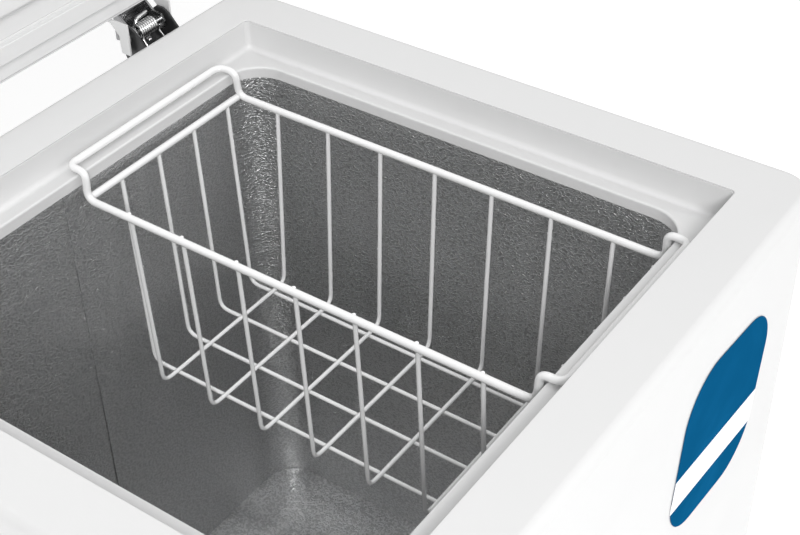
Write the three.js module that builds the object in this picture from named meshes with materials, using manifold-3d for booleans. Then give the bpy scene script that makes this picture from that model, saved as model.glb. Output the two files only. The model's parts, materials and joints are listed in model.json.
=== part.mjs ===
// Small chest freezer with its lid open and a wire basket hanging in it.
// Millimetres, +Z up, +X to the right of someone standing in front, +Y to the back.
import * as THREE from 'three';
import { mergeVertices } from 'three/addons/utils/BufferGeometryUtils.js';
import Module from 'manifold-3d';

const wasm = await Module();
wasm.setup();

// ---- Cabinet ----
const width = 543;
const depth = 530;
const rimHeight = 793;
const bodyCorner = 28;
const rimRound = 8;
const sheet = 1.2;
const gap = 0.3;
const footHeight = 15;
const footRadius = 17;
const footInset = 52;

// ---- Opening, plastic rim frame and liner ----
const sideWall = 66.5;
const wallFrontToBack = 65.2;
const openingShift = 1.4;
const openingCorner = 30;
const ledgeWidth = 20.5;
const stepDepth = 26.5;
const ledgeRise = 4.7;
const collarBelowLedge = 5.5;
const frameWall = 1.8;
const linerStandBack = 2;
const linerFloor = 75;

// ---- Compressor compartment and cooling circuit ----
const roomTopFoam = 50;
const roomLeftFoam = 50;
const roomFrontFoam = 60;
const roomFloorClear = 0.8;
const roomSideClear = 5;
const pipeSpace = 72.2;
const compressorRadius = 66;
const compressorHeight = 150;
const compressorFromBack = 205;
const compressorFootUnder = 4;
const compressorFootThick = 3;
const mountBesideShell = 8;
const mountHalfY = 36;
const footMargin = 10;
const railMargin = 8;
const railFromSide = 7.5;
const railThick = 3;
const shellAboveRail = 12;
const pipeRadius = 3;
const coilSlack = 3;
const grooveHalf = 6.4;
const coilTurns = 4;
const coilAboveHump = 29;
const coilBelowRim = 71;
const condenserRuns = 3;
const condenserBelowRim = 163;

// ---- Lid ----
const lidOverhang = 4;
const lidBottom = 8.5;
const lidTop = 55;
const lidSkin = 1.8;
const lidCorner = 30;
const lidTray = 50;
const lidTrayDrop = 12;
const gasketInset = 18;
const gasketWidth = 16;
const gripWidth = 150;
const gripReach = 20;

// ---- Hinges ----
const pivotBehind = 20;
const pivotBelowRim = 2;
const hingeFromRight = 100;
const leafHalf = 17;
const earHalf = 21;
const plateThick = 2;
const pinRadius = 2.9;
const pinClear = 0.3;
const coverHalf = 26;
const screwRadius = 2;
const screwHead = 4;

// ---- Basket ----
const basketWidth = 175.2;
const basketFromRight = 24.9;
const basketFromBack = 5.7;
const basketFromFront = 5.5;
const basketDeep = 171;
const basketTaper = 9.5;
const basketEndTaper = 15;
const frameWireRadius = 3;
const thinWireRadius = 1.75;
const wireBend = 12;
const sideWires = 7;
const sideWireFromEnd = 40.9;
const endWires = 4;
const endWireFirst = 35.4;
const endWireLast = 16.2;
const endWireLean = -7.5;
const handleOut = 17.1;
const handleRise = 22.8;

// ---- Controls, drain and label ----
const controlFromRight = 91.5;
const controlZ = 112;
const bezelWidth = 104;
const bezelHeight = 56;
const knobRadius = 16;
const knobShaft = 3;
const lampRadius = 4;
const pocketHalfX = 40;
const pocketHalfZ = 20;
const drainFromLeft = 161.5;
const drainFromFront = 145;
const drainZ = 46;
const drainBore = 8;
const drainWall = 2;
const labelFromRight = 136.5;
const labelBelowRim = 129;
const labelWidth = 130;
const labelHeight = 150;
const labelTilt = 6;

const quarter = Math.PI / 2;
const pivotY = depth / 2 + pivotBehind;
const pivotZ = rimHeight - pivotBelowRim;
const openingHalfX = width / 2 - sideWall;
const openingHalfY = depth / 2 - wallFrontToBack;
const wrapInside = sheet + gap;
const hingeX = width / 2 - hingeFromRight;

// The compressor's size sets the compartment, and the compartment sets the hump in the liner.
const mountHalfX = compressorRadius + mountBesideShell;
const railHalfX = mountHalfX + footMargin + railMargin;
const compressorX = width / 2 - railFromSide - railHalfX;
const compressorY = depth / 2 - compressorFromBack;
const railBottom = footHeight + sheet + 2 * gap;
const compressorFloor = railBottom + shellAboveRail;
const roomFloor = footHeight + sheet + roomFloorClear;
const roomTop = compressorFloor + compressorHeight + pipeSpace;
const roomLeft = compressorX - railHalfX - roomSideClear;
const roomFront = -depth / 2 + roomFrontFoam;
const humpTop = roomTop + roomTopFoam;
const humpLeft = roomLeft - roomLeftFoam;

const coilFirst = humpTop + coilAboveHump;
const coilPitch = (rimHeight - coilBelowRim - coilFirst) / coilTurns;
const condenserPitch = (rimHeight - condenserBelowRim - coilFirst) / (condenserRuns - 1);

// The basket hangs by its handles, which rest on the lip of the ledge.
const handleBelowRim = stepDepth - ledgeRise - frameWireRadius - gap;
const basketBelowRim = handleBelowRim + handleRise;
const basketRight = openingHalfX - basketFromRight;
const basketLeft = basketRight - basketWidth;
const basketBack = openingShift + openingHalfY - basketFromBack;
const basketFront = openingShift - openingHalfY + basketFromFront;
const sideWirePitch = (basketBack - basketFront - 2 * sideWireFromEnd) / (sideWires - 1);
const endWirePitch = (basketWidth - endWireFirst - endWireLast) / (endWires - 1);

const controlX = width / 2 - controlFromRight;
const drainX = -width / 2 + drainFromLeft;
const drainY = -depth / 2 + drainFromFront;
const labelX = width / 2 - labelFromRight;
const labelZ = rimHeight - labelBelowRim;

const freezer = new THREE.Group();
const lid = new THREE.Group();
lid.position.set(0, pivotY, pivotZ);
lid.rotation.x = -quarter;
const lidLeaf = new THREE.Group();
lidLeaf.position.set(0, pivotY, pivotZ);
freezer.add(lid, lidLeaf);

const finishes = {
  white_steel: { color: 0xeeeeed, roughness: 0.35, metalness: 0 },
  white_plastic: { color: 0xe9e9e8, roughness: 0.45, metalness: 0 },
  liner: { color: 0x7d7f82, roughness: 0.38, metalness: 0.9 },
  foam: { color: 0xe8dcae, roughness: 0.9, metalness: 0 },
  galvanised: { color: 0xb4b8ba, roughness: 0.5, metalness: 0.8 },
  black_steel: { color: 0x1b1c1d, roughness: 0.45, metalness: 0.2 },
  chrome: { color: 0xd5d7d9, roughness: 0.15, metalness: 1 },
  copper: { color: 0xb86b40, roughness: 0.35, metalness: 1 },
  rubber: { color: 0x242424, roughness: 0.8, metalness: 0 },
  gasket: { color: 0xe2e2e0, roughness: 0.6, metalness: 0 },
  basket: { color: 0xf3f3f2, roughness: 0.3, metalness: 0 },
  label: { color: 0x0e5e8f, roughness: 0.4, metalness: 0 },
  green_lamp: { color: 0x37b24d, roughness: 0.3, metalness: 0 },
  red_lamp: { color: 0xc92a2a, roughness: 0.3, metalness: 0 },
};

function put(name, geometry, finish, parent = freezer) {
  const mesh = new THREE.Mesh(geometry, new THREE.MeshStandardMaterial(finishes[finish]));
  mesh.name = name;
  parent.add(mesh);
  return mesh;
}

// ---- Solids ----
function toSolid(geometry) {
  const bare = geometry.clone();
  bare.deleteAttribute('normal');
  bare.deleteAttribute('uv');
  const welded = mergeVertices(bare, 1e-4);
  const mesh = new wasm.Mesh({
    numProp: 3,
    vertProperties: new Float32Array(welded.attributes.position.array),
    triVerts: new Uint32Array(welded.index.array),
  });
  return new wasm.Manifold(mesh);
}

function keep(geometry, tool) {
  return toGeometry(toSolid(geometry).intersect(toSolid(tool)));
}

function toGeometry(solid) {
  const mesh = solid.getMesh();
  const geometry = new THREE.BufferGeometry();
  geometry.setAttribute('position', new THREE.BufferAttribute(mesh.vertProperties, 3));
  geometry.setIndex(new THREE.BufferAttribute(mesh.triVerts, 1));
  return geometry;
}

function cut(geometry, ...tools) {
  const solid = tools.reduce((body, tool) => body.subtract(toSolid(tool)), toSolid(geometry));
  return toGeometry(solid);
}

function join(...geometries) {
  const [first, ...others] = geometries.map(toSolid);
  return toGeometry(others.reduce((body, other) => body.add(other), first));
}

// A block given by its low and high corners.
function block(x0, x1, y0, y1, z0, z1) {
  const box = new THREE.BoxGeometry(x1 - x0, y1 - y0, z1 - z0);
  return box.translate((x0 + x1) / 2, (y0 + y1) / 2, (z0 + z1) / 2);
}

// A round bar centred on a point and running along 'x', 'y' or 'z'.
function bar(x, y, z, radius, length, along, sides = 16) {
  const rod = new THREE.CylinderGeometry(radius, radius, length, sides);
  if (along === 'x') rod.rotateZ(quarter);
  if (along === 'z') rod.rotateX(quarter);
  return rod.translate(x, y, z);
}

// A turned piece about +Z. Each profile point is [radius, height].
function turned(profile, sides = 20) {
  const points = profile.map(([radius, height]) => new THREE.Vector2(radius, height));
  return new THREE.LatheGeometry(points, sides).rotateX(quarter);
}

// One level of a loft: a rounded rectangle at height z.
function level(halfX, halfY, corner, z, centreY = 0, steps = 5) {
  const radius = Math.max(corner, 0.5);
  const loop = [];
  for (let turn = 0; turn < 4; turn++) {
    const signX = turn === 0 || turn === 3 ? 1 : -1;
    const signY = turn < 2 ? 1 : -1;
    for (let step = 0; step <= steps; step++) {
      const angle = (turn + step / steps) * quarter;
      loop.push(new THREE.Vector3(
        signX * (halfX - radius) + radius * Math.cos(angle),
        centreY + signY * (halfY - radius) + radius * Math.sin(angle),
        z,
      ));
    }
  }
  return loop;
}

const outer = (inset, z) =>
  level(width / 2 - inset, depth / 2 - inset, bodyCorner - inset, z);
const opening = (grow, z, corner = openingCorner + grow) =>
  level(openingHalfX + grow, openingHalfY + grow, corner, z, openingShift);
const lidLevel = (inset, z, corner = lidCorner - inset) =>
  level(width / 2 + lidOverhang - inset, depth / 2 + lidOverhang - inset, corner,
    z + pivotBelowRim, -pivotY);

// Joins levels into one closed skin: a ring closes on its first level, a capped loft has two flat ends.
function loft(levels, capped = false) {
  const count = levels[0].length;
  const positions = levels.flat().flatMap((point) => point.toArray());
  const index = [];
  const spans = capped ? levels.length - 1 : levels.length;
  for (let row = 0; row < spans; row++) {
    const below = row * count;
    const above = ((row + 1) % levels.length) * count;
    for (let i = 0; i < count; i++) {
      const next = (i + 1) % count;
      index.push(below + i, below + next, above + next, below + i, above + next, above + i);
    }
  }
  if (capped) {
    const last = (levels.length - 1) * count;
    for (let i = 1; i < count - 1; i++) {
      index.push(0, i + 1, i, last, last + i, last + i + 1);
    }
  }
  const geometry = new THREE.BufferGeometry();
  geometry.setAttribute('position', new THREE.Float32BufferAttribute(positions, 3));
  geometry.setIndex(index);
  return facingOut(geometry);
}

// Turns every face over if the skin encloses a negative volume.
function facingOut(geometry) {
  const [a, b, c] = [new THREE.Vector3(), new THREE.Vector3(), new THREE.Vector3()];
  const position = geometry.attributes.position;
  const index = Array.from(geometry.index.array);
  let volume = 0;
  for (let i = 0; i < index.length; i += 3) {
    a.fromBufferAttribute(position, index[i]);
    b.fromBufferAttribute(position, index[i + 1]);
    c.fromBufferAttribute(position, index[i + 2]);
    volume += a.dot(b.cross(c));
  }
  if (volume < 0) {
    for (let i = 0; i < index.length; i += 3) {
      [index[i + 1], index[i + 2]] = [index[i + 2], index[i + 1]];
    }
  }
  geometry.setIndex(index);
  return geometry;
}

// A line through chosen points, followed point by point.
class Route extends THREE.Curve {
  constructor(points) {
    super();
    this.points = points;
  }

  getPoint(t, target = new THREE.Vector3()) {
    const place = t * (this.points.length - 1);
    const start = Math.min(Math.floor(place), this.points.length - 2);
    return target.lerpVectors(this.points[start], this.points[start + 1], place - start);
  }

  getPointAt(u, target) {
    return this.getPoint(u, target);
  }

  getTangentAt(u, target = new THREE.Vector3()) {
    const last = this.points.length - 1;
    const here = Math.round(u * last);
    const before = this.points[Math.max(here - 1, 0)];
    const after = this.points[Math.min(here + 1, last)];
    return target.subVectors(after, before).normalize();
  }
}

// Rounds the corners of a path of points by short arcs.
function rounded(points, radius, steps = 3) {
  const path = [points[0]];
  for (let i = 1; i < points.length - 1; i++) {
    const corner = points[i];
    const back = points[i - 1].clone().sub(corner);
    const ahead = points[i + 1].clone().sub(corner);
    const reach = Math.min(radius, back.length() * 0.49, ahead.length() * 0.49);
    const bend = new THREE.QuadraticBezierCurve3(
      corner.clone().addScaledVector(back.normalize(), reach),
      corner,
      corner.clone().addScaledVector(ahead.normalize(), reach),
    );
    path.push(...bend.getPoints(steps));
  }
  path.push(points[points.length - 1]);
  return path;
}

// A round or square bar that follows a path.
function rod(points, radius, sides = 8) {
  const section = new THREE.Shape();
  for (let side = 0; side < sides; side++) {
    const angle = ((side + 0.5) / sides) * 2 * Math.PI;
    const corner = [radius * Math.cos(angle), radius * Math.sin(angle)];
    if (side === 0) section.moveTo(...corner);
    else section.lineTo(...corner);
  }
  section.closePath();
  return new THREE.ExtrudeGeometry(section, {
    extrudePath: new Route(points),
    steps: points.length - 1,
    curveSegments: 1,
  });
}

const at = (x, y, z) => new THREE.Vector3(x, y, z);

// A flat outline of [y, z] points, as thick as x0 to x1.
function sideProfile(points, x0, x1) {
  const shape = new THREE.Shape(points.map(([y, z]) => new THREE.Vector2(y, z)));
  const slab = new THREE.ExtrudeGeometry(shape, { depth: x1 - x0, bevelEnabled: false });
  return slab.rotateX(quarter).rotateZ(quarter).translate(x0, 0, 0);
}

// The liner's inside space, grown by the given amount all round.
function cavity(grow) {
  const top = rimHeight - stepDepth + 2 + grow;
  const size = linerStandBack + grow;
  const bowl = loft([
    opening(size - 6, linerFloor - grow),
    opening(size, linerFloor - grow + 6),
    opening(size, top),
  ], true);
  const step = block(
    humpLeft + grow, width, -depth, depth, 0, humpTop - grow,
  );
  return cut(bowl, step);
}

// ---- Cabinet pieces ----
const backPanelHalf = width / 2 - bodyCorner - 4;
const backPanelTop = rimHeight - 20;
const grilleY0 = compressorY - 80;
const grilleY1 = compressorY + 90;
const grilleZ0 = 60;
const grilleZ1 = 200;

function bodyWrap() {
  const skin = loft([
    outer(0, footHeight + gap),
    outer(0, rimHeight - rimRound),
    outer(rimRound * 0.3, rimHeight - rimRound * 0.3),
    outer(rimRound, rimHeight),
    opening(ledgeWidth, rimHeight, 4),
    opening(ledgeWidth, rimHeight - sheet, 4),
    outer(rimRound, rimHeight - sheet),
    outer(rimRound * 0.3 + sheet * 0.7, rimHeight - rimRound * 0.3 - sheet * 0.7),
    outer(sheet, rimHeight - rimRound),
    outer(sheet, footHeight + gap),
  ]);
  const front = -depth / 2;
  return cut(
    skin,
    block(-backPanelHalf, backPanelHalf, depth / 2 - 5, depth / 2 + 5, 0, backPanelTop),
    block(width / 2 - 5, width / 2 + 5, grilleY0, grilleY1, grilleZ0, grilleZ1),
    controlPocket(front - 5, front + 5),
    bar(drainX, front, drainZ, drainBore + drainWall + gap, 10, 'y'),
  );
}

// The space behind the controls, from y0 to y1.
function controlPocket(y0, y1, grow = 0) {
  return block(
    controlX - pocketHalfX - grow, controlX + pocketHalfX + grow, y0, y1,
    controlZ - pocketHalfZ - grow, controlZ + pocketHalfZ + grow,
  );
}

function backPanel() {
  const face = depth / 2;
  const panel = block(
    -backPanelHalf + gap, backPanelHalf - gap, face - sheet, face, roomTop, backPanelTop - gap,
  );
  const lower = block(
    -backPanelHalf + gap, roomLeft, face - sheet, face, footHeight + gap, roomTop + 1,
  );
  const holes = hingePlaces().flatMap((x) =>
    screwHeights.map((z) => bar(x, face, pivotZ + z, screwRadius + gap, 10, 'y', 8)));
  return cut(join(panel, lower), ...holes);
}

function hingePlaces() {
  return [-hingeX, hingeX];
}

const screwHeights = [-28, -56];

function foamCore() {
  const frameUnder = rimHeight - stepDepth - ledgeRise;
  const core = loft([
    outer(wrapInside, footHeight + 2 * sheet + gap),
    outer(wrapInside, rimHeight - rimRound - 2),
    outer(rimRound + 2, rimHeight - wrapInside),
    opening(ledgeWidth + frameWall + gap + 1, rimHeight - wrapInside, 6),
    opening(ledgeWidth + frameWall + gap + 1, frameUnder, 6),
  ], true);
  const room = block(
    roomLeft - gap, width, roomFront - gap, depth, 0, roomTop + gap,
  );
  const boxPocket = controlPocket(-depth, roomFront, 1);
  const drainChannel = rod(drainPath(10), drainBore + drainWall + gap, 12);
  const screwPockets = hingePlaces().flatMap((x) => screwHeights.map((z) =>
    bar(x, depth / 2, pivotZ + z, screwRadius + gap, 30, 'y', 8)));
  return cut(
    core, cavity(sheet + gap), room, boxPocket, drainChannel,
    rod(evaporatorPath(), grooveHalf * Math.SQRT2, 4),
    rod(condenserPath(), grooveHalf * Math.SQRT2, 4),
    ...screwPockets,
  );
}

function evaporatorPath() {
  const out = linerStandBack + sheet + gap + pipeRadius + coilSlack;
  const halfX = openingHalfX + out;
  const halfY = openingHalfY + out;
  const bend = openingCorner + out;
  const corners = [[-1, -1], [1, -1], [1, 1], [-1, 1]];
  const path = [at(-halfX, openingShift + halfY - 2 * bend, coilFirst)];
  for (let turn = 0; turn < coilTurns; turn++) {
    corners.forEach(([signX, signY], side) => {
      const z = coilFirst + coilPitch * (turn + (side + 0.5) / corners.length);
      for (let step = 0; step <= 2; step++) {
        const angle = (side + 2 + step / 2) * quarter;
        path.push(at(
          signX * (halfX - bend) + bend * Math.cos(angle),
          openingShift + signY * (halfY - bend) + bend * Math.sin(angle),
          z,
        ));
      }
    });
  }
  return path;
}

function condenserPath() {
  const inset = wrapInside + pipeRadius + 0.2;
  const x = width / 2 - inset;
  const y = depth / 2 - inset;
  const back = y - 60;
  const path = [];
  for (let run = 0; run < condenserRuns; run++) {
    const z = coilFirst + run * condenserPitch;
    const side = run % 2 === 0 ? -1 : 1;
    path.push(at(side * x, back, z), at(side * x, -y, z), at(-side * x, -y, z), at(-side * x, back, z));
  }
  return rounded(path, bodyCorner, 2);
}

function drainPath(overrun) {
  return rounded([
    at(drainX, drainY, linerFloor - sheet - gap + overrun),
    at(drainX, drainY, drainZ),
    at(drainX, -depth / 2 + gap - overrun, drainZ),
  ], 14);
}

function drainTube() {
  const cutPath = drainPath(0);
  const longer = drainPath(2);
  return cut(rod(cutPath, drainBore + drainWall, 12), rod(longer, drainBore, 12));
}

function liner() {
  const mouth = rimHeight - stepDepth - 2;
  return cut(
    cavity(sheet), cavity(0), block(-width, width, -depth, depth, mouth, rimHeight),
    bar(drainX, drainY, linerFloor, drainBore, 20, 'z'),
  );
}

function rimFrame() {
  const back = ledgeWidth + frameWall;
  const ledge = rimHeight - stepDepth;
  return loft([
    opening(ledgeWidth - 0.3, rimHeight - sheet - gap, 4),
    opening(ledgeWidth - 1.4, ledge, 4),
    opening(1.5, ledge + ledgeRise, openingCorner + 1.5),
    opening(0, ledge + ledgeRise - 1.2, openingCorner),
    opening(0, ledge - collarBelowLedge, openingCorner),
    opening(frameWall - 0.4, ledge - collarBelowLedge, openingCorner + 1.4),
    opening(frameWall - 0.4, ledge + ledgeRise - 2.6, openingCorner + 1.4),
    opening(back - 1.2, ledge - 2, 5),
    opening(back, rimHeight - sheet - gap, 5),
  ]);
}

function basePan() {
  const floor = footHeight + gap;
  const pan = loft([
    outer(wrapInside, floor),
    outer(wrapInside, floor + sheet),
  ], true);
  const firstVent = depth / 2 - 155;
  const vents = [0, 1, 2, 3].map((slot) => block(
    roomLeft + 30, width / 2 - 40, firstVent + slot * 24, firstVent + slot * 24 + 12,
    0, floor + 10,
  ));
  return cut(pan, ...vents);
}

put('body_wrap', bodyWrap(), 'white_steel');
put('back_panel', backPanel(), 'galvanised');
put('base_pan', basePan(), 'galvanised');
put('foam_core', foamCore(), 'foam');
put('liner', liner(), 'liner');
put('rim_frame', rimFrame(), 'white_plastic');
put('evaporator_coil', rod(evaporatorPath(), pipeRadius, 6), 'copper');
put('condenser_coil', rod(condenserPath(), pipeRadius, 6), 'copper');
put('drain_tube', drainTube(), 'white_plastic');

for (const [name, signX, signY] of [
  ['foot_front_left', -1, -1], ['foot_front_right', 1, -1],
  ['foot_back_left', -1, 1], ['foot_back_right', 1, 1],
]) {
  const foot = turned([
    [0, 0], [footRadius - 1.5, 0], [footRadius, 1.5], [footRadius - 2, footHeight], [0, footHeight],
  ], 12);
  put(name, foot, 'rubber').position.set(
    signX * (width / 2 - footInset), signY * (depth / 2 - footInset), 0,
  );
}

// ---- Compressor compartment ----
function roomWalls() {
  const inner = block(
    roomLeft + sheet, width, roomFront + sheet, depth, 0, roomTop - sheet,
  );
  const walls = block(
    roomLeft, width / 2, roomFront, depth / 2 - sheet - gap,
    roomFloor + gap, roomTop - gap,
  );
  const boxHole = controlPocket(-depth, roomFront + 10);
  const inside = loft([outer(wrapInside + gap, 0), outer(wrapInside + gap, rimHeight)], true);
  return keep(cut(walls, inner, boxHole), inside);
}

function backCover() {
  const face = depth / 2;
  const cover = block(
    roomLeft + gap, backPanelHalf - gap, face - sheet, face, footHeight + gap, roomTop - gap,
  );
  const slots = [];
  for (let row = 0; row < 7; row++) {
    const z = 90 + row * 17;
    slots.push(block(roomLeft + 18, roomLeft + 78, face - 5, face + 5, z, z + 7));
    slots.push(block(roomLeft + 92, backPanelHalf - 18, face - 5, face + 5, z, z + 7));
  }
  const inlet = bar(roomLeft + 30, face, 50, 8 + gap, 10, 'y');
  return cut(cover, ...slots, inlet);
}

function sideGrille() {
  const x = width / 2;
  const frame = block(x - 4, x, grilleY0 + gap, grilleY1 - gap, grilleZ0 + gap, grilleZ1 - gap);
  const slots = [];
  for (let row = 0; row < 8; row++) {
    const z = grilleZ0 + 12 + row * 15;
    slots.push(block(x - 10, x + 5, grilleY0 + 12, grilleY1 - 12, z, z + 8));
  }
  return cut(frame, ...slots);
}

function compressor() {
  const shell = turned([
    [0, 0], [compressorRadius - 22, 0], [compressorRadius - 8, 8], [compressorRadius, 26],
    [compressorRadius, compressorHeight * 0.55], [compressorRadius - 3, compressorHeight * 0.57],
    [compressorRadius - 3, compressorHeight * 0.75], [compressorRadius - 16, compressorHeight * 0.92],
    [compressorRadius - 36, compressorHeight], [0, compressorHeight],
  ], 20);
  const footX = mountHalfX + footMargin;
  const footY = mountHalfY + footMargin;
  const feet = block(
    -footX, footX, -footY, footY, compressorFootUnder, compressorFootUnder + compressorFootThick,
  );
  const holes = mountCorners.map(([x, y]) => bar(x, y, 5, 5, 20, 'z', 12));
  return cut(join(shell, feet), ...holes);
}

const mountCorners = [-mountHalfY, mountHalfY].flatMap((y) => [[-mountHalfX, y], [mountHalfX, y]]);

put('compartment_walls', roomWalls(), 'galvanised');
put('compartment_back_cover', backCover(), 'galvanised');
put('side_vent_grille', sideGrille(), 'white_plastic');

const mountBottom = railBottom + railThick + gap;
const railHalfY = mountHalfY + footMargin + 6;
put('compressor', compressor(), 'black_steel')
  .position.set(compressorX, compressorY, compressorFloor);
put('compressor_rail', block(
  compressorX - railHalfX, compressorX + railHalfX,
  compressorY - railHalfY, compressorY + railHalfY,
  railBottom, railBottom + railThick,
), 'galvanised');
mountCorners.forEach(([x, y], number) => {
  const under = compressorFloor + compressorFootUnder - gap - mountBottom;
  const over = under + compressorFootThick + 2 * gap;
  const grommet = turned([
    [0, 0], [8, 0], [8, under], [4.6, under], [4.6, over], [7, over], [6, over + 4], [0, over + 4],
  ], 10);
  put(`compressor_mount_${number + 1}`, grommet, 'rubber')
    .position.set(compressorX + x, compressorY + y, mountBottom);
});

function relayCover() {
  const x = compressorX - compressorRadius - 4;
  return cut(
    block(x - 22, x + 30, compressorY - 26, compressorY + 26, 80, 140),
    bar(compressorX, compressorY, 110, compressorRadius + gap + 1, 200, 'z', 20),
  );
}
put('relay_cover', relayCover(), 'rubber');

function pipes() {
  const shellTop = compressorFloor + compressorHeight;
  const roof = roomTop - sheet - 2 * gap;
  const behind = compressorY + compressorRadius + 30;
  const dischargeStart = at(compressorX + 20, compressorY, shellTop + gap);
  const discharge = rounded([
    dischargeStart, at(compressorX + 20, compressorY, shellTop + 14),
    at(compressorX + 20, behind, shellTop + 14), at(compressorX + 20, behind, roof),
  ], 10);
  const suction = rounded([
    at(compressorX - 20, compressorY, shellTop + gap), at(compressorX - 20, compressorY, shellTop + 22),
    at(compressorX - 60, compressorY - 40, shellTop + 22), at(compressorX - 60, compressorY - 40, roof),
  ], 10);
  put('discharge_pipe', rod(discharge, pipeRadius, 8), 'copper');
  put('suction_pipe', rod(suction, pipeRadius + 1, 8), 'copper');
  const drier = turned([
    [0, 0], [2, 0], [2, 8], [9, 16], [9, 78], [2, 86], [2, 96], [0, 96],
  ], 12);
  put('filter_drier', drier, 'copper').position.set(compressorX + 50, behind + 20, roof - 100);
}
pipes();

function cordGland() {
  const face = depth / 2;
  const gland = join(
    bar(roomLeft + 30, face - 0.6, 50, 8, 8, 'y', 12),
    bar(roomLeft + 30, face + 1.8, 50, 11, 3, 'y', 12),
  );
  return cut(gland, bar(roomLeft + 30, face, 50, 4, 40, 'y', 12));
}
put('cord_gland', cordGland(), 'rubber');

// ---- Drain ----
function drainPlug() {
  const plug = turned([
    [0, -8], [drainBore - 0.8, -8], [drainBore - 0.5, 0], [drainBore - 0.5, sheet],
    [drainBore + 5, sheet], [drainBore + 4, sheet + 2.5], [3, sheet + 2.5], [3, sheet + 10],
    [0, sheet + 10],
  ], 12);
  return plug.translate(drainX, drainY, linerFloor + gap - sheet);
}
put('drain_plug', drainPlug(), 'rubber');

function drainCap() {
  const cap = turned([
    [0, -9], [drainBore - 0.8, -9], [drainBore - 0.5, 0.5], [drainBore + 6, 0.5],
    [drainBore + 6, 3], [drainBore + 4, 5], [0, 5],
  ], 14);
  return cap.rotateX(quarter).translate(drainX, -depth / 2, drainZ);
}
put('drain_cap', drainCap(), 'white_plastic');

// ---- Controls ----
function roundedPlate(halfX, halfZ, corner, thick, steps = 4) {
  return loft([
    level(halfX, halfZ, corner, 0, 0, steps), level(halfX, halfZ, corner, thick * 0.6, 0, steps),
    level(halfX - thick * 0.4, halfZ - thick * 0.4, corner, thick, 0, steps),
  ], true).rotateX(quarter);
}

const faceFront = -depth / 2;
const knobX = controlX + 22;
const lampPlaces = [
  ['lamp_running', controlX - 34, 'green_lamp'], ['lamp_warm', controlX - 16, 'red_lamp'],
];

function bezel() {
  const plate = roundedPlate(bezelWidth / 2, bezelHeight / 2, 8, 3)
    .translate(controlX, faceFront - gap, controlZ);
  const shaftHole = bar(knobX, faceFront, controlZ, knobShaft + gap + 1, 20, 'y');
  const lampHoles = lampPlaces.map(([, x]) =>
    bar(x, faceFront, controlZ, lampRadius - 0.5 + gap, 20, 'y', 12));
  return cut(plate, shaftHole, ...lampHoles);
}
put('control_bezel', bezel(), 'white_plastic');

function thermostat() {
  const body = block(
    knobX - 16, knobX + 16, roomFront - 30, roomFront + 18, controlZ - 17, controlZ + 17,
  );
  const sleeveFront = faceFront + 9;
  const sleeveLength = roomFront - 25 - sleeveFront;
  const sleeve = bar(knobX, sleeveFront + sleeveLength / 2, controlZ, 7, sleeveLength, 'y', 12);
  return join(body, sleeve, bar(knobX, faceFront + 13, controlZ, knobShaft, 34, 'y', 12));
}
put('thermostat', thermostat(), 'galvanised');

function knob() {
  const body = turned([
    [0, 0], [knobRadius, 0], [knobRadius, 3], [knobRadius - 1.5, 13], [knobRadius - 3, 14.5], [0, 14.5],
  ], 20);
  const pointer = block(-2, 2, 0, knobRadius - 3, 13, 16);
  const bore = bar(0, 0, 0, knobShaft + gap, 16, 'z', 12);
  return cut(join(body, pointer), bore).rotateX(quarter)
    .translate(knobX, faceFront - gap - 3 - gap, controlZ);
}
put('thermostat_knob', knob(), 'white_plastic');

for (const [name, x, finish] of lampPlaces) {
  const lens = turned([
    [0, -8], [lampRadius - 0.5, -8], [lampRadius - 0.5, 3.6], [lampRadius, 3.6],
    [lampRadius - 1, 5], [0, 5.6],
  ], 10);
  put(name, lens.rotateX(quarter).translate(x, faceFront, controlZ), finish);
}

function label() {
  const plate = roundedPlate(labelWidth / 2, labelHeight / 2, 14, 0.6, 6);
  return plate.rotateY(labelTilt * Math.PI / 180).translate(labelX, faceFront - gap, labelZ);
}
put('front_label', label(), 'label');

// ---- Lid, drawn closed about the hinge line ----
function lidShell() {
  return loft([
    lidLevel(30, lidTop), lidLevel(12, lidTop), lidLevel(5, lidTop - 2.2),
    lidLevel(1.2, lidTop - 6.5), lidLevel(0, lidTop - 13), lidLevel(0, lidBottom),
    lidLevel(lidSkin, lidBottom), lidLevel(lidSkin, lidTop - 13),
    lidLevel(6, lidTop - 4.5), lidLevel(30, lidTop - 2),
  ], true);
}

function lidInner() {
  const face = lidBottom;
  return loft([
    lidLevel(lidTray + 16, face - lidTrayDrop + lidSkin, 22),
    lidLevel(lidTray + 8, face - lidTrayDrop + lidSkin, 24),
    lidLevel(lidTray, face + lidSkin, 26), lidLevel(lidSkin + gap, face + lidSkin),
    lidLevel(lidSkin + gap, face), lidLevel(lidTray + 1, face, 26),
    lidLevel(lidTray + 9, face - lidTrayDrop, 24), lidLevel(lidTray + 16, face - lidTrayDrop, 22),
  ], true);
}

function lidFoam() {
  const face = lidBottom + lidSkin + gap;
  return loft([
    lidLevel(lidTray + 16, face - lidTrayDrop, 22), lidLevel(lidTray + 8.6, face - lidTrayDrop, 24),
    lidLevel(lidTray + 0.6, face, 26), lidLevel(lidSkin + gap, face),
    lidLevel(lidSkin + gap, lidTop - 14), lidLevel(8, lidTop - 5.5), lidLevel(30, lidTop - 2 - gap),
  ], true);
}

function lidGasket() {
  const inside = gasketInset + gasketWidth;
  const top = lidBottom - gap;
  return loft([
    lidLevel(gasketInset, top, 14), lidLevel(inside, top, 8),
    lidLevel(inside - 2.5, top - 4, 9), lidLevel(inside - 1, 0.6, 8),
    lidLevel(gasketInset + 1, 0.6, 13), lidLevel(gasketInset + 2.5, top - 4, 12),
  ]);
}

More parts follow.
